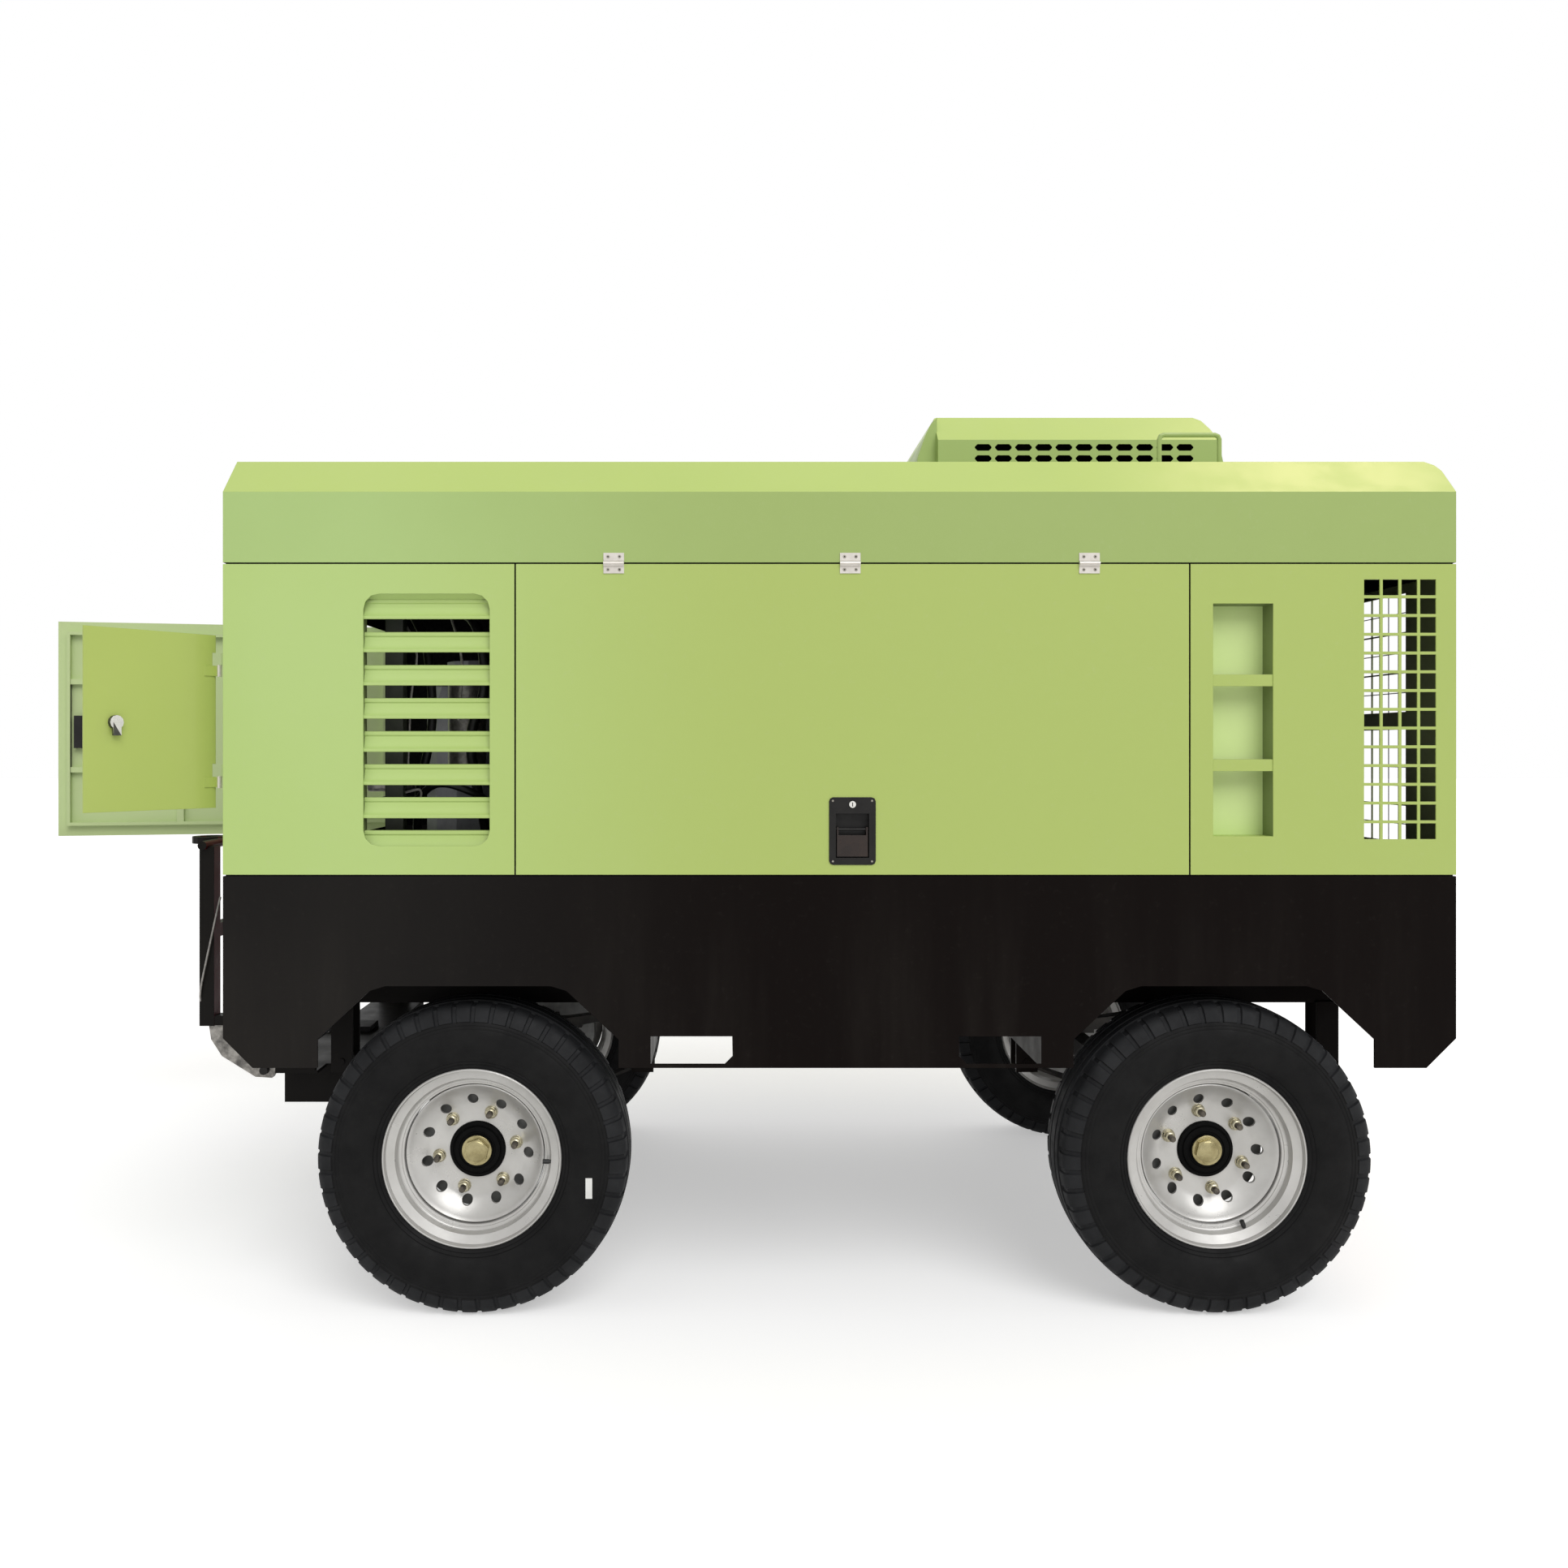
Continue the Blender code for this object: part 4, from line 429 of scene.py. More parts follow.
latch = body_box("latch_near")
latch_middle = ((latch[0].x + latch[1].x) / 2, latch[0].z + 0.0645)
LATCH_HALF = (0.0595, 0.086)
seam = body_box("roof")[0].z + 0.024


def in_latch(c, n):
    dx, dz, out = abs(c.x - latch_middle[0]), c.z - latch_middle[1], abs(c.y)
    plate = out > SIDE + 0.0005
    cup = out < SIDE - 0.0045 and dx < 0.0465
    mouth = dx < 0.0425 and abs(dz + 0.0115) < 0.0565
    return dx < LATCH_HALF[0] and abs(dz) < LATCH_HALF[1] and (plate or cup or mouth)


def on_hinge(c, n):
    return abs(c.y) > SIDE + 0.0006 and c.z > seam - 0.032


SHEET = 0.004
door = body_box("door_near")
roof = body_box("roof")
ROOF_HIGH = roof[1].z
HINGE_Z = seam - 0.002


def door_edge(c, n):
    return abs(n.y) < 0.5 and abs(c.y) > SIDE - SHEET - 0.0002 and not on_hinge(c, n) and (
        min(abs(c.x - door[0].x), abs(c.x - door[1].x)) < 0.001 or c.z < door[
            0].z + 0.001 or c.z > seam - 0.006)


def lining(c, n):
    return abs(c.y) < SIDE - SHEET + 0.0005 and n.y * c.y < -0.3 * abs(c.y)


def seam_edge(c, n):
    beside = min(abs(c.x - door[0].x), abs(c.x - door[1].x))
    return abs(n.x) > 0.7 and beside < 0.006 or beside < 0.055 and abs(
        c.y) < SIDE - 0.0025 or c.z > seam - 0.006


def roof_inside(c, n):
    inward = n.y * -c.y + n.z * (2.0 - c.z) + n.x * -c.x * 0.3
    return inward > 0.02 and abs(
        c.y) < SIDE - 0.002 and c.z < ROOF_HIGH - 0.002 or c.z < seam + 0.001 and not on_hinge(c, n)


def roof_slope(c, n):
    return 0.5 < n.z < 0.9 and abs(n.y) > 0.4 and c.z > ROOF_HIGH - 0.11


RECESS_X, RECESS_Z = (0.94, 1.10), (1.20, 1.80)


def at_recess(c):
    return RECESS_X[0] < c.x < RECESS_X[1] and RECESS_Z[0] < c.z < RECESS_Z[1]


# Back wall of the recess, which takes painted light.
def in_recess(c, n):
    return abs(n.y) > 0.7 and n.y * c.y > 0 and at_recess(c) and abs(c.y) < SIDE - 0.01


# Right and top walls of the recess, which take painted shade.
def recess_shade(c, n):
    turned_in = n.x < -0.7 and c.x > RECESS_X[1] - 0.01 or n.z < -0.7 and c.z > RECESS_Z[1] - 0.02
    return at_recess(c) and abs(c.y) < SIDE - 0.002 and turned_in


def turned_back(c, pivot, degrees):
    """Where a point of an open door lies when the door is shut."""
    angle = math.radians(degrees)
    dx, dy = c.x - pivot[0], c.y - pivot[1]
    x = pivot[0] + dx * math.cos(angle) - dy * math.sin(angle)
    y = pivot[1] + dx * math.sin(angle) + dy * math.cos(angle)
    return Vector((x, y, c.z))


END_PIVOT, END_OPEN = (-END - 0.0105, 0.8925), 78
CONTROL_PIVOT, CONTROL_OPEN = (-END - 0.024, -0.860), 144


def end_latch_cup(c, n):
    at = turned_back(c, END_PIVOT, END_OPEN)
    on_plate = at.x > -END - 0.0045 and at.x < -END + 0.0005
    across = abs(at.y + 0.22)
    near = across < 0.0605 and abs(at.z - 1.5) < 0.0875
    return near and (not on_plate or across < 0.0425 and abs(at.z - 1.489) < 0.0565)


def end_hinge(c, n):
    return math.hypot(c.x - END_PIVOT[0], c.y - END_PIVOT[1]) < 0.0085


def control_hinge(c, n):
    return math.hypot(c.x - CONTROL_PIVOT[0], c.y - CONTROL_PIVOT[1]) < 0.0085


def cam_face(c, n):
    at = turned_back(c, CONTROL_PIVOT, -CONTROL_OPEN)
    return at.x < -END - 0.0150 and abs(at.z - 1.4895) < 0.0175


# The side panels' recess: back wall in painted light, right and top walls in painted shade.
for name in ("panel_front_near", "panel_front_far", "panel_rear_near", "panel_rear_far"):
    finish_node(name, GREEN, (LINING_AND_SHADE, lining), (SEAL, seam_edge), (LIT_RECESS_GREEN, in_recess),
        (PAINTED_SHADE_GREEN, recess_shade))
finish_node("louvre", GREEN)
for name in ("door_near", "door_far"):
    finish_node(name, GREEN, (LINING_AND_SHADE, lining), (SEAL, door_edge), (LATCH, in_latch), (HINGE, on_hinge))
# The roof's slopes take the lighter copy of the green: painted light.
finish_node("roof", ROOF_GREEN, (LIT_SLOPE_GREEN, roof_slope), (LINING_AND_SHADE, roof_inside), (HINGE, on_hinge))
HOOD_MIDDLE = 0.73


# Inner faces of the green hood take the black lining: painted shade.
def hood_inside(c, n):
    return n.z < -0.05 or c.z < 2.36 and n.x * (HOOD_MIDDLE - c.x) + n.y * -c.y > 0.02


finish_node("hood", LIT_SLOPE_GREEN, (ROOF_GREEN, lambda c, n: abs(n.z) < 0.4), (LINING_AND_SHADE, hood_inside))
finish_node("handrail", ROOF_GREEN)
finish_node("front_frame", INNER_GREEN, (HINGE, end_hinge), (HINGE, control_hinge),
    (LINING_AND_SHADE, lambda c, n: n.x > 0.7))
# Grille faces turned away from the outside: painted shade.
finish_node("rear_grille", GREEN, (SHADED_GRILLE_GREEN, lambda c, n: n.x < 0.7 and c.x < END - 0.0005))
finish_node("end_door", INNER_GREEN, (LATCH, end_latch_cup), (HINGE, end_hinge))
finish_node("control_door", BRIGHT_GREEN, (HINGE, control_hinge))
for name in ("skirt_near", "skirt_far", "floor_tray", "rail_near", "rail_far", "front_beam"):
    finish_node(name, BLACK)
for name in ("axle_front", "axle_rear", "knuckle_near", "knuckle_far", "tie_rod", "steer_yoke"):
    finish_node(name, AXLE_BLACK)
for name in ("spring_front_near", "spring_front_far", "spring_rear_near", "spring_rear_far"):
    finish_node(name, SPRING_STEEL)
leg_low = 0.602
finish_node(
    "drawbar", BLACK,
    (WARM_RED, lambda c, n: n.x > 0.7 and c.z > leg_low + 0.04),
    (WORN_STEEL, lambda c, n: c.z < leg_low - 0.001),
)
for name in ("latch_near", "latch_far", "end_latch"):
    finish_node(name, PADDLE)
finish_node("cam_lock", CAM_DARK, (BRIGHT, cam_face))
finish_node("control_box", CABINET)
finish_node("stop_button", STOP_RED)
finish_node("valve_lever", LEVER_RED)
for name in ("engine", "airend"):
    finish_node(name, GREY_MACHINE)
finish_node("fan", FAN_PLASTIC)
finish_node("radiator", FIN)
for name in ("air_filter", "fuel_tank"):
    finish_node(name, DARK_MACHINE)
finish_node("battery", BATTERY)
finish_node("separator_tank", GREY_MACHINE)
finish_node("silencer", HEAT_STEEL)
finish_node("outlet_pipe", WORN_STEEL)

# Wheels, each drawn once about its own axis with outward along -Y.

RADIUS = (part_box("tyre_front_near")[1].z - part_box("tyre_front_near")[0].z) / 2
PITCHES = 49
GROOVE_STEPS = (0.0, 0.05, 0.24, 0.29, 0.53, 0.77)


def tyre_shape():
    """Side walls, rings and a rib tread with short cuts across its shoulders."""
    side = [
        (0.2070, 0.0640), (0.2280, 0.0775), (0.2340, 0.0850), (0.2400, 0.0880), (0.2420, 0.0870),
            (0.2440, 0.0890),
        (0.2490, 0.0925), (0.2510, 0.0915), (0.2530, 0.0940), (0.2650, 0.0990), (0.2820, 0.1050),
            (0.3000, 0.1072),
        (0.3180, 0.1068), (0.3330, 0.1050), (0.3355, 0.1038), (0.3380, 0.1046), (0.3420, 0.1040),
            (0.3445, 0.1026),
        (0.3470, 0.1036), (0.3510, 0.1026), (0.3535, 0.1010), (0.3560, 0.1022), (0.3650, 0.1002),
            (0.3780, 0.0960),
        (0.3880, 0.0900), (0.3945, 0.0825), (0.3970, 0.0740), (0.3988, 0.0560), (0.3995, 0.0535),
            (0.3915, 0.0520),
        (0.3915, 0.0450), (0.4010, 0.0435), (0.4022, 0.0250), (0.3935, 0.0240), (0.3935, 0.0170),
            (0.4024, 0.0160), (RADIUS, 0.0),
    ]
    cut = {}
    for j, (r, t) in enumerate(side):
        if r > 0.3550 and 0.056 <= t <= 0.1023:
            cut[j] = 0.0032 if r > 0.3920 else 0.0065
    profile = side + [(r, -t) for r, t in reversed(side[:-1])]
    last = len(profile) - 1
    profile += [(0.2060, -0.0500), (0.3000, -0.0930), (0.3730, -0.0550), (0.3730, 0.0550), (0.3000, 0.0930),
        (0.2060, 0.0500)]
    verts, faces = [], []
    count = len(profile)
    steps = len(GROOVE_STEPS)
    for i in range(PITCHES * steps):
        angle = 2 * math.pi * (i // steps + GROOVE_STEPS[i % steps]) / PITCHES
        in_cut = i % steps in (1, 2)
        for j, (r, t) in enumerate(profile):
            deep = cut.get(j if j < len(side) else last - j if j <= last else -1, 0.0) if in_cut else 0.0
            verts.append(((r - deep) * math.cos(angle), -(t - math.copysign(deep * 0.5, t)),
                (r - deep) * math.sin(angle)))
    rings = PITCHES * steps
    for i in range(rings):
        here, after = i * count, ((i + 1) % rings) * count
        for j in range(count):
            k = (j + 1) % count
            faces.append((here + j, here + k, after + k, after + j))
    return Shape().add(verts, faces)


RIM_FACE = [
    (0.2300, 0.0775), (0.2312, 0.0815), (0.2306, 0.0850), (0.2285, 0.0868), (0.2260, 0.0860),
        (0.2246, 0.0830),
    (0.2240, 0.0770), (0.2225, 0.0730), (0.2190, 0.0705), (0.2120, 0.0690), (0.2090, 0.0675),
        (0.2070, 0.0640),
    (0.2055, 0.0560), (0.2035, 0.0520), (0.1990, 0.0500), (0.1965, 0.0492), (0.1950, 0.0470),
        (0.1935, 0.0462),
    (0.1890, 0.0455), (0.1880, 0.0436), (0.1865, 0.0430), (0.1838, 0.0425), (0.1826, 0.0410),
        (0.1826, -0.0010),
]
RIM_BACK = [
    (0.1840, -0.0300), (0.1945, -0.0440), (0.2055, -0.0560), (0.2090, -0.0675), (0.2225, -0.0730),
        (0.2246, -0.0830),
    (0.2285, -0.0868), (0.2312, -0.0815), (0.2300, -0.0775), (0.2020, -0.0650), (0.1895, -0.0300),
        (0.1895, 0.0230), (0.2020, 0.0650),
]
DISC = [
    (0.1800, 0.0335), (0.1792, 0.0360), (0.1772, 0.0368), (0.1745, 0.0350), (0.1700, 0.0300),
        (0.1600, 0.0200),
    (0.1450, 0.0085), (0.1300, 0.0000), (0.1220, -0.0030), (0.1180, -0.0034), (0.0735, -0.0034),
        (0.0735, -0.0115),
    (0.1200, -0.0112), (0.1450, 0.0000), (0.1640, 0.0140), (0.1800, 0.0255),
]
HUB_PROFILE = [
    (0.0720, -0.0235), (0.0720, -0.0100), (0.0705, -0.0080), (0.0680, -0.0074), (0.0640, -0.0074),
        (0.0625, -0.0090),
    (0.0610, -0.0090), (0.0595, -0.0060), (0.0530, -0.0045), (0.0480, -0.0045), (0.0465, -0.0060),
        (0.0430, -0.0060),
    (0.0418, -0.0040), (0.0418, -0.0015), (0.0, -0.0015), (0.0, -0.0235),
]
DRUM_PROFILE = [(0.160, -0.034), (0.160, -0.096), (0.052, -0.100), (0.052, -0.040), (0.075, -0.026),
    (0.150, -0.030)]
VENT_RING, VENT_SIZE, VENT_COUNT = 0.1345, 0.0140, 11
STUD_RING, STUD_COUNT = 0.1025, 6
HUB_OUT = 0.012


def cut_mesh(mesh, cutter):
    """The first mesh less the second."""
    a, b = bpy.data.objects.new("a", mesh), bpy.data.objects.new("b", cutter)
    for obj in (a, b):
        bpy.context.scene.collection.objects.link(obj)
    change = a.modifiers.new("cut", "BOOLEAN")
    change.operation, change.solver, change.object = "DIFFERENCE", "EXACT", b
    made = bpy.data.meshes.new_from_object(a.evaluated_get(bpy.context.evaluated_depsgraph_get()))
    for obj in (a, b):
        bpy.data.objects.remove(obj, do_unlink=True)
    return made


def spread(count, ring, first):
    """Places round a ring, from a first angle in degrees."""
    for i in range(count):
        angle = math.radians(first + 360 * i / count)
        yield angle, ring * math.cos(angle), ring * math.sin(angle)


def disc_mesh(vents_from):
    holes = Shape()
    for angle, x, z in spread(VENT_COUNT, VENT_RING, vents_from):
        outline = [
            (x + VENT_SIZE * math.cos(angle + k), z + VENT_SIZE * math.sin(angle + k))
            for k in (2 * math.pi * s / 24 for s in range(24))
        ]
        holes.prism("Y", outline, -0.05, 0.06)
    disc = mesh_of("disc", Shape().lathe(DISC, 120), [SILVER])
    made = cut_mesh(disc, mesh_of("holes", holes, [SILVER]))
    for face in made.polygons:
        face.use_smooth = True
    made.set_sharp_from_angle(angle=math.radians(28))
    return made


def hexagon(x, z, radius, turn):
    return [(x + radius * math.cos(turn + k * math.pi / 3), z + radius * math.sin(turn + k * math.pi / 3))
        for k in range(6)]


def wheel(name, body, vents_from, studs_from, valve, label=None):
    centre = sum(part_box(f"tyre_{name}"), Vector()) / 2
    far = name.endswith("far")
    at = Matrix.Translation(centre) @ (Matrix.Rotation(math.pi, 4, "Z") if far else Matrix.Identity(4))
    skin = tyre_shape()
    tread = [max(math.hypot(skin.verts[k][0], skin.verts[k][2]) for k in face) > 0.3580
        for face in skin.faces]
    skin = mesh_of(f"tyre_skin_{name}", skin, [RUBBER, TREAD], [int(on) for on in tread], 32)
    tyre = piece(f"tyre_skin_{name}", skin, RUBBER, body, at)
    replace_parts(tyre, f"tyre_{name}")
    rim = piece(f"rim_ring_{name}", Shape().lathe(RIM_FACE + RIM_BACK, 120), SILVER, body, at, 30)
    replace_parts(rim, f"rim_{name}")
    piece(f"rim_disc_{name}", disc_mesh(vents_from), SILVER, body, at)
    nuts, studs = Shape(), Shape()
    for angle, x, z in spread(STUD_COUNT, STUD_RING, studs_from):
        nuts.rod("Y", (x, z), 0.0178, 0.0160, 0.0125, 20, 0.0170)
        nuts.rod("Y", (x, z), 0.0165, 0.0128, 0.0085, 20, 0.0140)
        nuts.prism("Y", hexagon(x, z, 0.0138, angle + 0.4), 0.0110, -0.0040)
        nuts.rod("Y", (x, z), 0.0122, -0.0036, -0.0056, 20, 0.0095)
        studs.rod("Y", (x, z), 0.0080, 0.0, -0.0215, 16)
        for k in range(5):
            studs.rod("Y", (x, z), 0.0084, -0.0060 - 0.003 * k, -0.0078 - 0.003 * k, 16, 0.0078)
        studs.rod("Y", (x, z), 0.0078, -0.0212, -0.0236, 16, 0.0058)
    proud = at @ Matrix.Translation((0, -HUB_OUT, 0))
    piece(f"wheel_nuts_{name}", nuts, ZINC, body, proud, bevel=0.0005)
    piece(f"wheel_studs_{name}", studs, STUD, body, proud)
    hub = piece(f"hub_dome_{name}", Shape().lathe(HUB_PROFILE, 64, True), HUB, body, proud, 25)
    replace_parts(hub, f"hub_{name}")
    piece(f"hub_drum_{name}", Shape().lathe(DRUM_PROFILE, 64), CAST, body, at)
    cap = Shape().rod("Y", (0, 0), 0.0400, -0.0005, -0.0030, 40, 0.0385)
    cap.prism("Y", hexagon(0, 0, 0.0335, 0.3), -0.0020, -0.0120)
    cap.rod("Y", (0, 0), 0.0272, -0.0118, -0.0136, 40, 0.0245)
    piece(f"hub_cap_{name}", cap, GOLD, body, proud, bevel=0.0006)
    angle, reach = math.radians(valve[0]), valve[1]
    vx, vz = math.cos(angle), math.sin(angle)
    bends = ((0.010, 0.046), (0.005, 0.056), (-0.004, 0.0615), (-0.020, 0.0640))
    route = [(vx * (reach + out), -t, vz * (reach + out)) for out, t in bends]
    stem = Shape().tube(route, 0.0048, 10).tube([route[-2], route[-1]], 0.0060, 12)
    piece(f"valve_stem_{name}", stem, HOSE, body, at)
    if label:
        angle, reach = math.radians(label[0]), label[1]
        lx, lz = reach * math.cos(angle), reach * math.sin(angle)
        sticker = Shape().box(lx - 0.0085, lx + 0.0085, -0.1078, -0.1065, lz - 0.026, lz + 0.026)
        piece(f"tyre_label_{name}", sticker, LABEL, body, at)


wheel("front_near", "wheel_front_near", 95, 10, (-4, 0.200), (-12.6, 0.311))
wheel("front_far", "wheel_front_far", 20, 30, (70, 0.200))
wheel("rear_near", "wheel_rear_near", 98, 40, (-67, 0.200))
wheel("rear_far", "wheel_rear_far", 50, 5, (120, 0.200))

# Louvre of formed blades, over the frame's plain ones.

LOUVRE = body_box("louvre")
HOLE_X = (LOUVRE[0].x + 0.018, LOUVRE[1].x - 0.018)
HOLE_Z = (1.179, 1.818)
BLADE_PITCH = (HOLE_Z[1] - HOLE_Z[0]) / 7.6
PLATE_BACK = -SIDE + SHEET + 0.0004
blades = Shape()
for i in range(8):
    z = HOLE_Z[0] - 0.0135 + i * BLADE_PITCH
    outer = [
        (0.0010, 0.0000), (0.0000, 0.0012), (0.0000, 0.0068), (0.0012, 0.0084), (0.0040, 0.0096),
            (0.0085, 0.0145),
        (0.0125, 0.0225), (0.0150, 0.0315), (0.0160, 0.0400), (0.0150, 0.0415), (0.0135, 0.0425),
            (0.0130, 0.0440),
        (0.0135, 0.0500), (0.0150, 0.0520), (0.0190, 0.0530)]
    inner = [(0.0190, 0.0515), (0.0155, 0.0505), (0.0148, 0.0450), (0.0175, 0.0420), (0.0165, 0.0310),
        (0.0140, 0.0215),
             (0.0098, 0.0130), (0.0055, 0.0080), (0.0025, 0.0066), (0.0020, 0.0010)]
    blades.prism("X", [(PLATE_BACK + y, z + h) for y, h in outer + inner], HOLE_X[0] - 0.004,
        HOLE_X[1] + 0.004)
lip = [(0.0165, 0.0505), (0.0004, 0.0680), (0.0004, 0.0720), (0.0180, 0.0530)]
blades.prism("X", [(PLATE_BACK + y, z + h) for y, h in lip], HOLE_X[0] - 0.004, HOLE_X[1] + 0.004)
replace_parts(piece("louvre_blades", blades, GREEN, "machine", angle=25), "louvre")
stiles = Shape()
for x0, x1 in ((LOUVRE[0].x, HOLE_X[0] - 0.001), (HOLE_X[1] + 0.001, LOUVRE[1].x)):
    stiles.box(x0, x1, PLATE_BACK, PLATE_BACK + 0.034, HOLE_Z[0] - 0.018, HOLE_Z[1] + 0.018)
# The louvre's side walls take the dark green: painted shade.
piece("louvre_stiles", stiles, PAINTED_SHADE_GREEN, "machine")

inside = Shape().box(-1.176, -1.128, -0.800, -0.760, 0.880, 1.870)
inside.box(-0.870, -0.840, -0.790, -0.760, 0.880, 1.870)
# The posts take the near-black grey-green: painted shade behind the louvre.
piece("canopy_posts", inside, SHADED_POST_GREEN, "machine", bevel=0.002)
piece("oil_filter", Shape().rod("Z", (-1.010, -0.560), 0.052, 1.330, 1.640, 36), CABLE, "machine",
    bevel=0.004)
hoses = Shape()
for path, r in (
        ([(-1.150, -0.62, 1.800), (-1.100, -0.66, 1.700), (-1.080, -0.68, 1.500), (-1.120, -0.66, 1.300),
            (-1.140, -0.60, 1.100)], 0.012),
        ([(-1.060, -0.60, 1.820), (-0.960, -0.70, 1.760), (-0.930, -0.72, 1.600), (-0.980, -0.66, 1.440),
            (-0.950, -0.60, 1.200)], 0.014),
        ([(-1.170, -0.64, 1.240), (-1.060, -0.74, 1.330), (-0.960, -0.74, 1.310), (-0.900, -0.66, 1.260)],
            0.010)):
    hoses.tube(path, r, 12)
piece("engine_bay_hoses", hoses, HOSE, "machine")
wires = Shape()
for path in (
        [(-1.165, -0.745, 1.800), (-1.105, -0.755, 1.690), (-1.120, -0.750, 1.560), (-1.128, -0.750, 1.380)],
        [(-1.020, -0.745, 1.790), (-0.985, -0.755, 1.660), (-0.995, -0.750, 1.500)],
        [(-1.190, -0.770, 1.296), (-1.125, -0.775, 1.312), (-1.090, -0.770, 1.316), (-1.096, -0.765, 1.270)]):
    wires.tube(path, 0.0035, 8)
piece("engine_bay_wires", wires, CABLE, "machine")

# Hinge screws, latch rivets and lock cylinders on the side doors.

HINGES_X = (-0.571, 0.027, 0.632)
for side, word in ((-1, "near"), (1, "far")):
    on_roof, on_door, holes_roof, holes_door = Shape(), Shape(), Shape(), Shape()
    for x in HINGES_X:
        for dx in (-0.0145, 0.0145):
            for heads, holes, z in ((on_roof, holes_roof, HINGE_Z + 0.0165),
                (on_door, holes_door, HINGE_Z - 0.0165)):
                heads.rod("Y", (x + dx, z), 0.0047, side * (SIDE + 0.0018), side * (SIDE + 0.0034), 18,
                    0.0034)
                # Dark hexagons on the screw heads: painted shade in the sockets.
                holes.prism("Y", hexagon(x + dx, z, 0.0020, 0.2), side * (SIDE + 0.0020),
                    side * (SIDE + 0.0036))
    piece(f"roof_hinge_screws_{word}", on_roof, SCREW, "machine")
    piece(f"door_hinge_screws_{word}", on_door, SCREW, f"side_door_{word}")
    piece(f"roof_screw_socket_shade_{word}", holes_roof, DARK_SLOT, "machine")
    piece(f"door_screw_socket_shade_{word}", holes_door, DARK_SLOT, f"side_door_{word}")
    rivets = Shape()
    for dx in (-0.0495, 0.0495):
        for dz in (-0.0765, 0.0765):
            spot = (latch_middle[0] + dx, latch_middle[1] + dz)
            rivets.rod("Y", spot, 0.0034, side * (SIDE + 0.0020), side * (SIDE + 0.0040), 14, 0.0022)
    piece(f"latch_rivets_{word}", rivets, SCREW, f"side_door_{word}")
    lock_at = (latch_middle[0], latch_middle[1] + 0.0675)
    lock = Shape().rod("Y", lock_at, 0.0092, side * (SIDE + 0.0050), side * (SIDE + 0.0072), 28, 0.0084)
    piece(f"latch_lock_{word}", lock, BRIGHT, f"side_door_{word}")
    # A dark bar on the lock cylinder: painted shade in the key slot.
    depth = sorted((side * (SIDE + 0.0065), side * (SIDE + 0.0076)))
    slot = Shape().box(lock_at[0] - 0.0011, lock_at[0] + 0.0011, *depth, lock_at[1] - 0.005,
        lock_at[1] + 0.005)
    piece(f"latch_key_slot_shade_{word}", slot, DARK_SLOT, f"side_door_{word}")

# Guard wires over the cooler end, between the frame's own.

wires = Shape()
for z0, z1 in ((1.169, 1.480), (1.524, 1.850)):
    for i in range(7):
        y = -0.664 + (i + 0.5) * 1.328 / 7
        wires.rod("Z", (END - 0.0030, y), 0.0014, z0 - 0.004, z1 + 0.004, 8)
    for j in range(3):
        z = z0 + (j + 0.5) * (z1 - z0) / 3
        wires.rod("Y", (END - 0.0012, z), 0.0014, -0.668, 0.668, 8)
piece("end_guard_wires", wires, DARK_MACHINE, "machine")

# Small pieces: hood bolts, drawbar cable, controls.

bolts = Shape()
for x in (1.060, 1.085, 1.128):
    bolts.rod("Y", (x, 2.204), 0.0055, -0.4495, -0.4550, 12, 0.0040)
piece("hood_bolts", bolts, LABEL, "machine")
cable = Shape().tube([
    (-1.792, -0.318, 0.985), (-1.800, -0.330, 0.930), (-1.828, -0.333, 0.796), (-1.846, -0.330, 0.711),
        (-1.850, -0.318, 0.665)], 0.0032, 8)
piece("drawbar_wire_rope", cable, CABLE, "drawbar")
front = -END + 0.0495
dials = Shape()
for z in (1.600, 1.520):
    dials.rod("X", (-0.570, z), 0.0255, front - 0.0085, front - 0.0070, 32)
piece("gauge_dials", dials, DIAL, "machine")
needles = Shape()
for z, tilt in ((1.600, 0.5), (1.520, -0.7)):
    needles.rod("X", (-0.570, z), 0.0030, front - 0.0100, front - 0.0080, 12)
    hand = Shape().box(front - 0.0094, front - 0.0087, -0.0008, 0.0008, -0.004, 0.019)
    needles.join(hand.moved(Matrix.Translation((0, -0.570, z)) @ Matrix.Rotation(tilt, 4, "X")))
piece("gauge_needles", needles, DARK_SLOT, "machine")
piece("controller_screen", Shape().box(front - 0.0108, front - 0.0098, -0.765, -0.672, 1.530, 1.592),
    SCREEN, "machine")
keys = Shape()
for i in range(5):
    keys.box(front - 0.0120, front - 0.0098, -0.765 + i * 0.019, -0.752 + i * 0.019, 1.507, 1.518)
piece("controller_keys", keys, LATCH, "machine")
piece("key_switch", Shape().rod("X", (-0.740, 1.345), 0.0110, front - 0.0140, front - 0.0110, 24), BRIGHT,
    "machine")

# Camera, light and ground.


def white_for_sight(tree):
    """Camera, glossy and transmitted rays meet plain white there; the rest is light as it is."""
    path = tree.nodes.new("ShaderNodeLightPath")
    total = path.outputs["Is Camera Ray"]
    for other in ("Is Glossy Ray", "Is Transmission Ray"):
        either = tree.nodes.new("ShaderNodeMath")
        either.operation = "MAXIMUM"
        tree.links.new(total, either.inputs[0])
        tree.links.new(path.outputs[other], either.inputs[1])
        total = either.outputs[0]
    return total


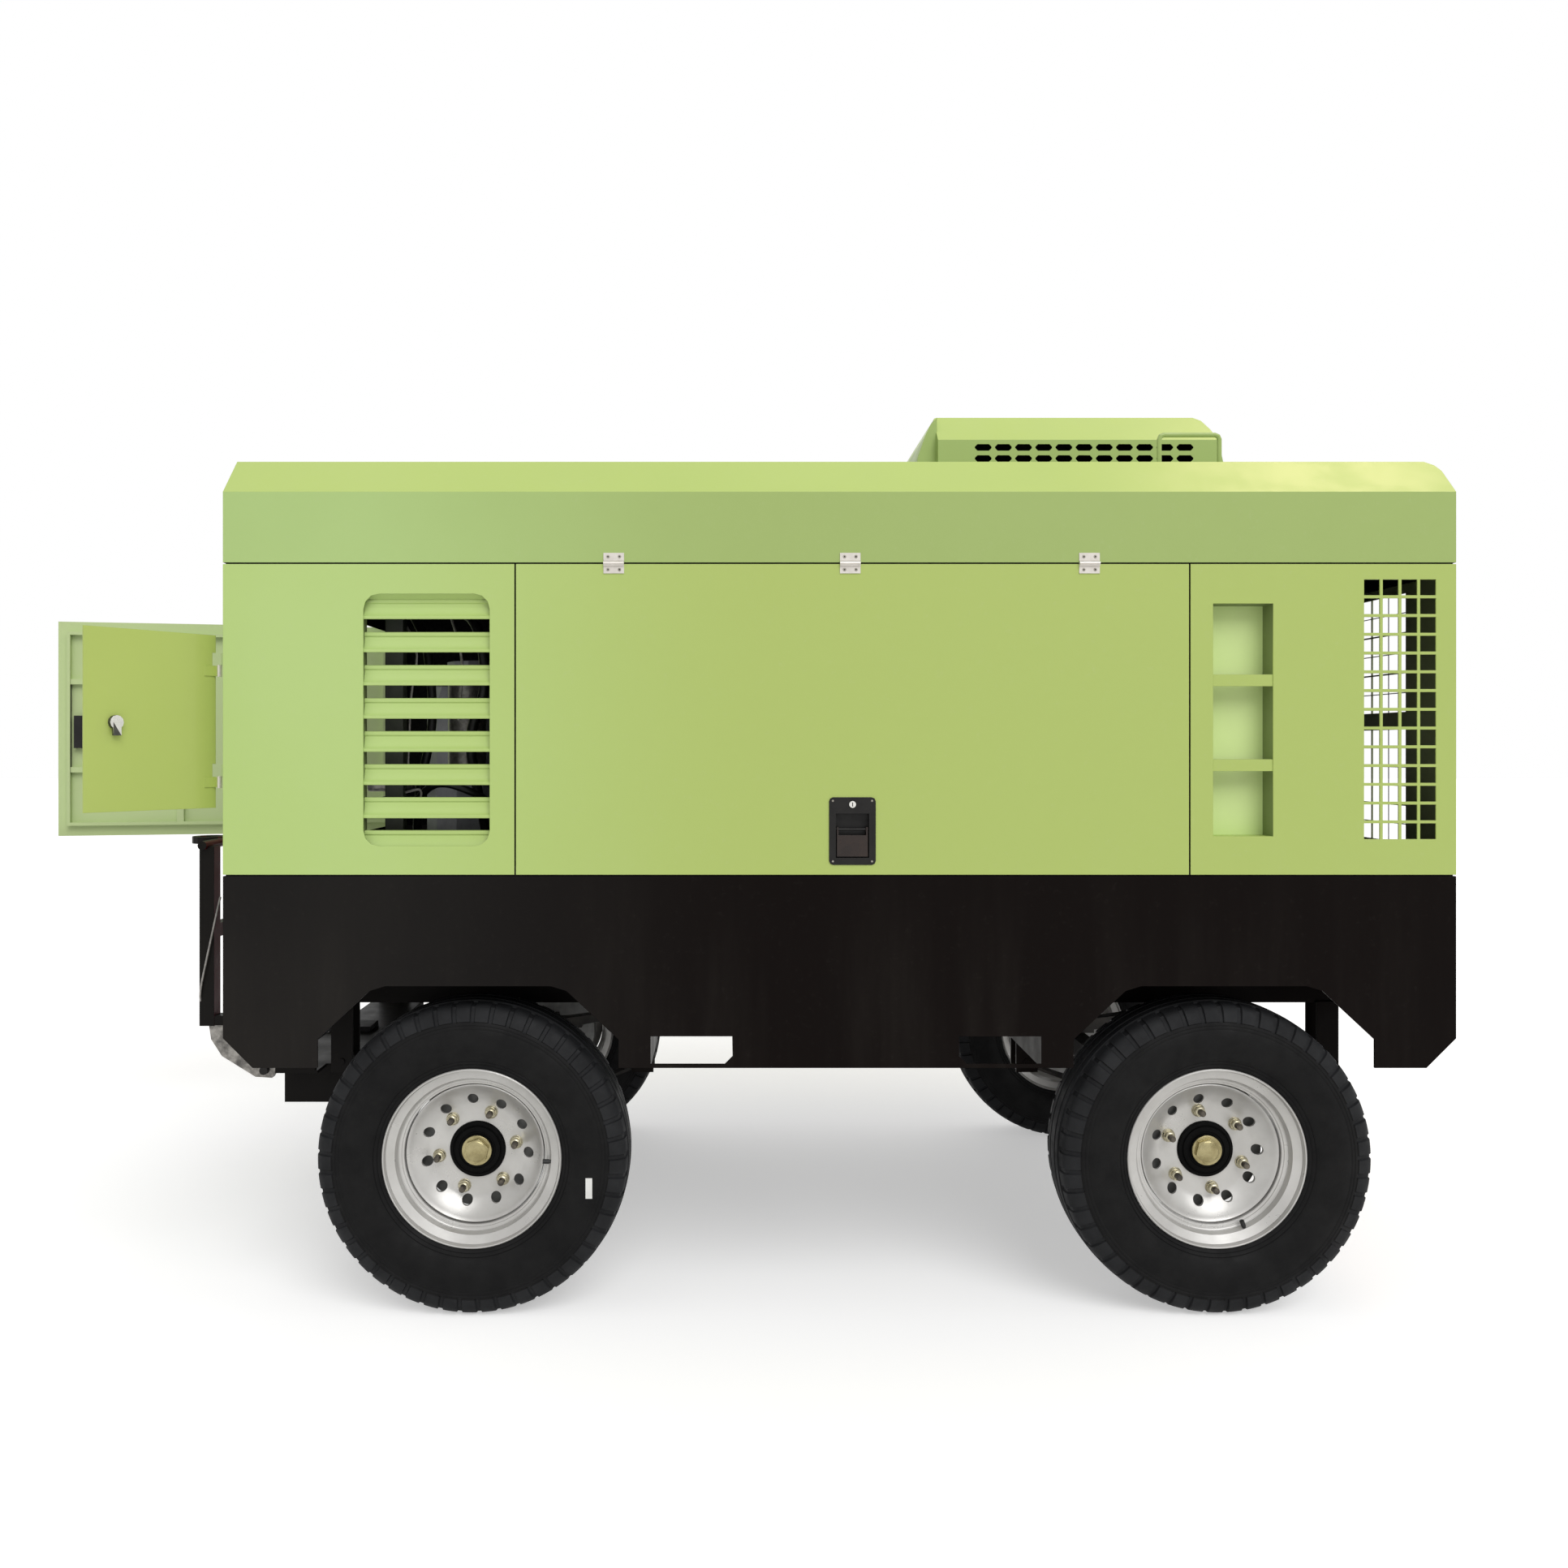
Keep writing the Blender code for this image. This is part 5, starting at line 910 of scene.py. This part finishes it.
world = bpy.data.worlds.new("studio")
bpy.context.scene.world = world
world.use_nodes = True
tree = world.node_tree
dim = tree.nodes["Background"]
dim.inputs["Color"].default_value = (1.0, 0.99, 0.975, 1)
dim.inputs["Strength"].default_value = 0.62
bright = tree.nodes.new("ShaderNodeBackground")
bright.inputs["Color"].default_value = (1, 1, 1, 1)
bright.inputs["Strength"].default_value = 1.0
blend = tree.nodes.new("ShaderNodeMixShader")
tree.links.new(white_for_sight(tree), blend.inputs[0])
tree.links.new(dim.outputs[0], blend.inputs[1])
tree.links.new(bright.outputs[0], blend.inputs[2])
tree.links.new(blend.outputs[0], tree.nodes["World Output"].inputs[0])

floor_mesh = bpy.data.meshes.new("floor")
floor_mesh.from_pydata([(-60, -60, 0), (60, -60, 0), (60, 60, 0), (-60, 60, 0)], [], [(0, 1, 2, 3)])
floor = bpy.data.objects.new("floor", floor_mesh)
bpy.context.scene.collection.objects.link(floor)
ground = bpy.data.materials.new("pale_floor")
ground.use_nodes = True
tree = ground.node_tree
shader = tree.nodes["Principled BSDF"]
shader.inputs["Base Color"].default_value = (0.80, 0.80, 0.80, 1)
shader.inputs["Roughness"].default_value = 0.9
shader.inputs["Specular IOR Level"].default_value = 0.1
glow = tree.nodes.new("ShaderNodeEmission")
glow.inputs["Color"].default_value = (1, 1, 1, 1)
strength = tree.nodes.new("ShaderNodeMath")
strength.operation = "MULTIPLY"
strength.inputs[1].default_value = 0.42
tree.links.new(white_for_sight(tree), strength.inputs[0])
tree.links.new(strength.outputs[0], glow.inputs["Strength"])
both = tree.nodes.new("ShaderNodeAddShader")
tree.links.new(shader.outputs[0], both.inputs[0])
tree.links.new(glow.outputs[0], both.inputs[1])
tree.links.new(both.outputs[0], tree.nodes["Material Output"].inputs[0])
floor_mesh.materials.append(ground)


def lamp(name, kind, energy, at, target, **values):
    data = bpy.data.lights.new(name, kind)
    data.energy = energy
    for key, value in values.items():
        setattr(data, key, value)
    made = bpy.data.objects.new(name, data)
    made.location = at
    made.rotation_mode = "QUATERNION"
    made.rotation_quaternion = (Vector(target) - Vector(at)).to_track_quat("-Z", "Y")
    bpy.context.scene.collection.objects.link(made)
    return made


lamp("key", "SUN", 1.35, (2.0, -5.0, 5.5), (0, 0, 0.5), angle=0.7)
glare = CENTRE + Vector((2.75, -0.15, 5.5))
lamp("warm_overhead", "AREA", 26, glare, CENTRE + Vector((1.3, -0.85, 2.1)), color=(1.0, 0.72, 0.48),
    shape="DISK", size=1.5)

camera = bpy.data.objects.new("camera", bpy.data.cameras.new("camera"))
camera.location = CENTRE + Vector((-0.286, -4.20, 1.425))
camera.rotation_euler = (math.radians(90), 0, 0)
camera.data.sensor_width = 36
camera.data.lens = 29.95
camera.data.shift_x, camera.data.shift_y = 0.0367, -0.0223
bpy.context.scene.collection.objects.link(camera)
bpy.context.scene.camera = camera
bpy.context.scene.view_settings.view_transform = "Standard"
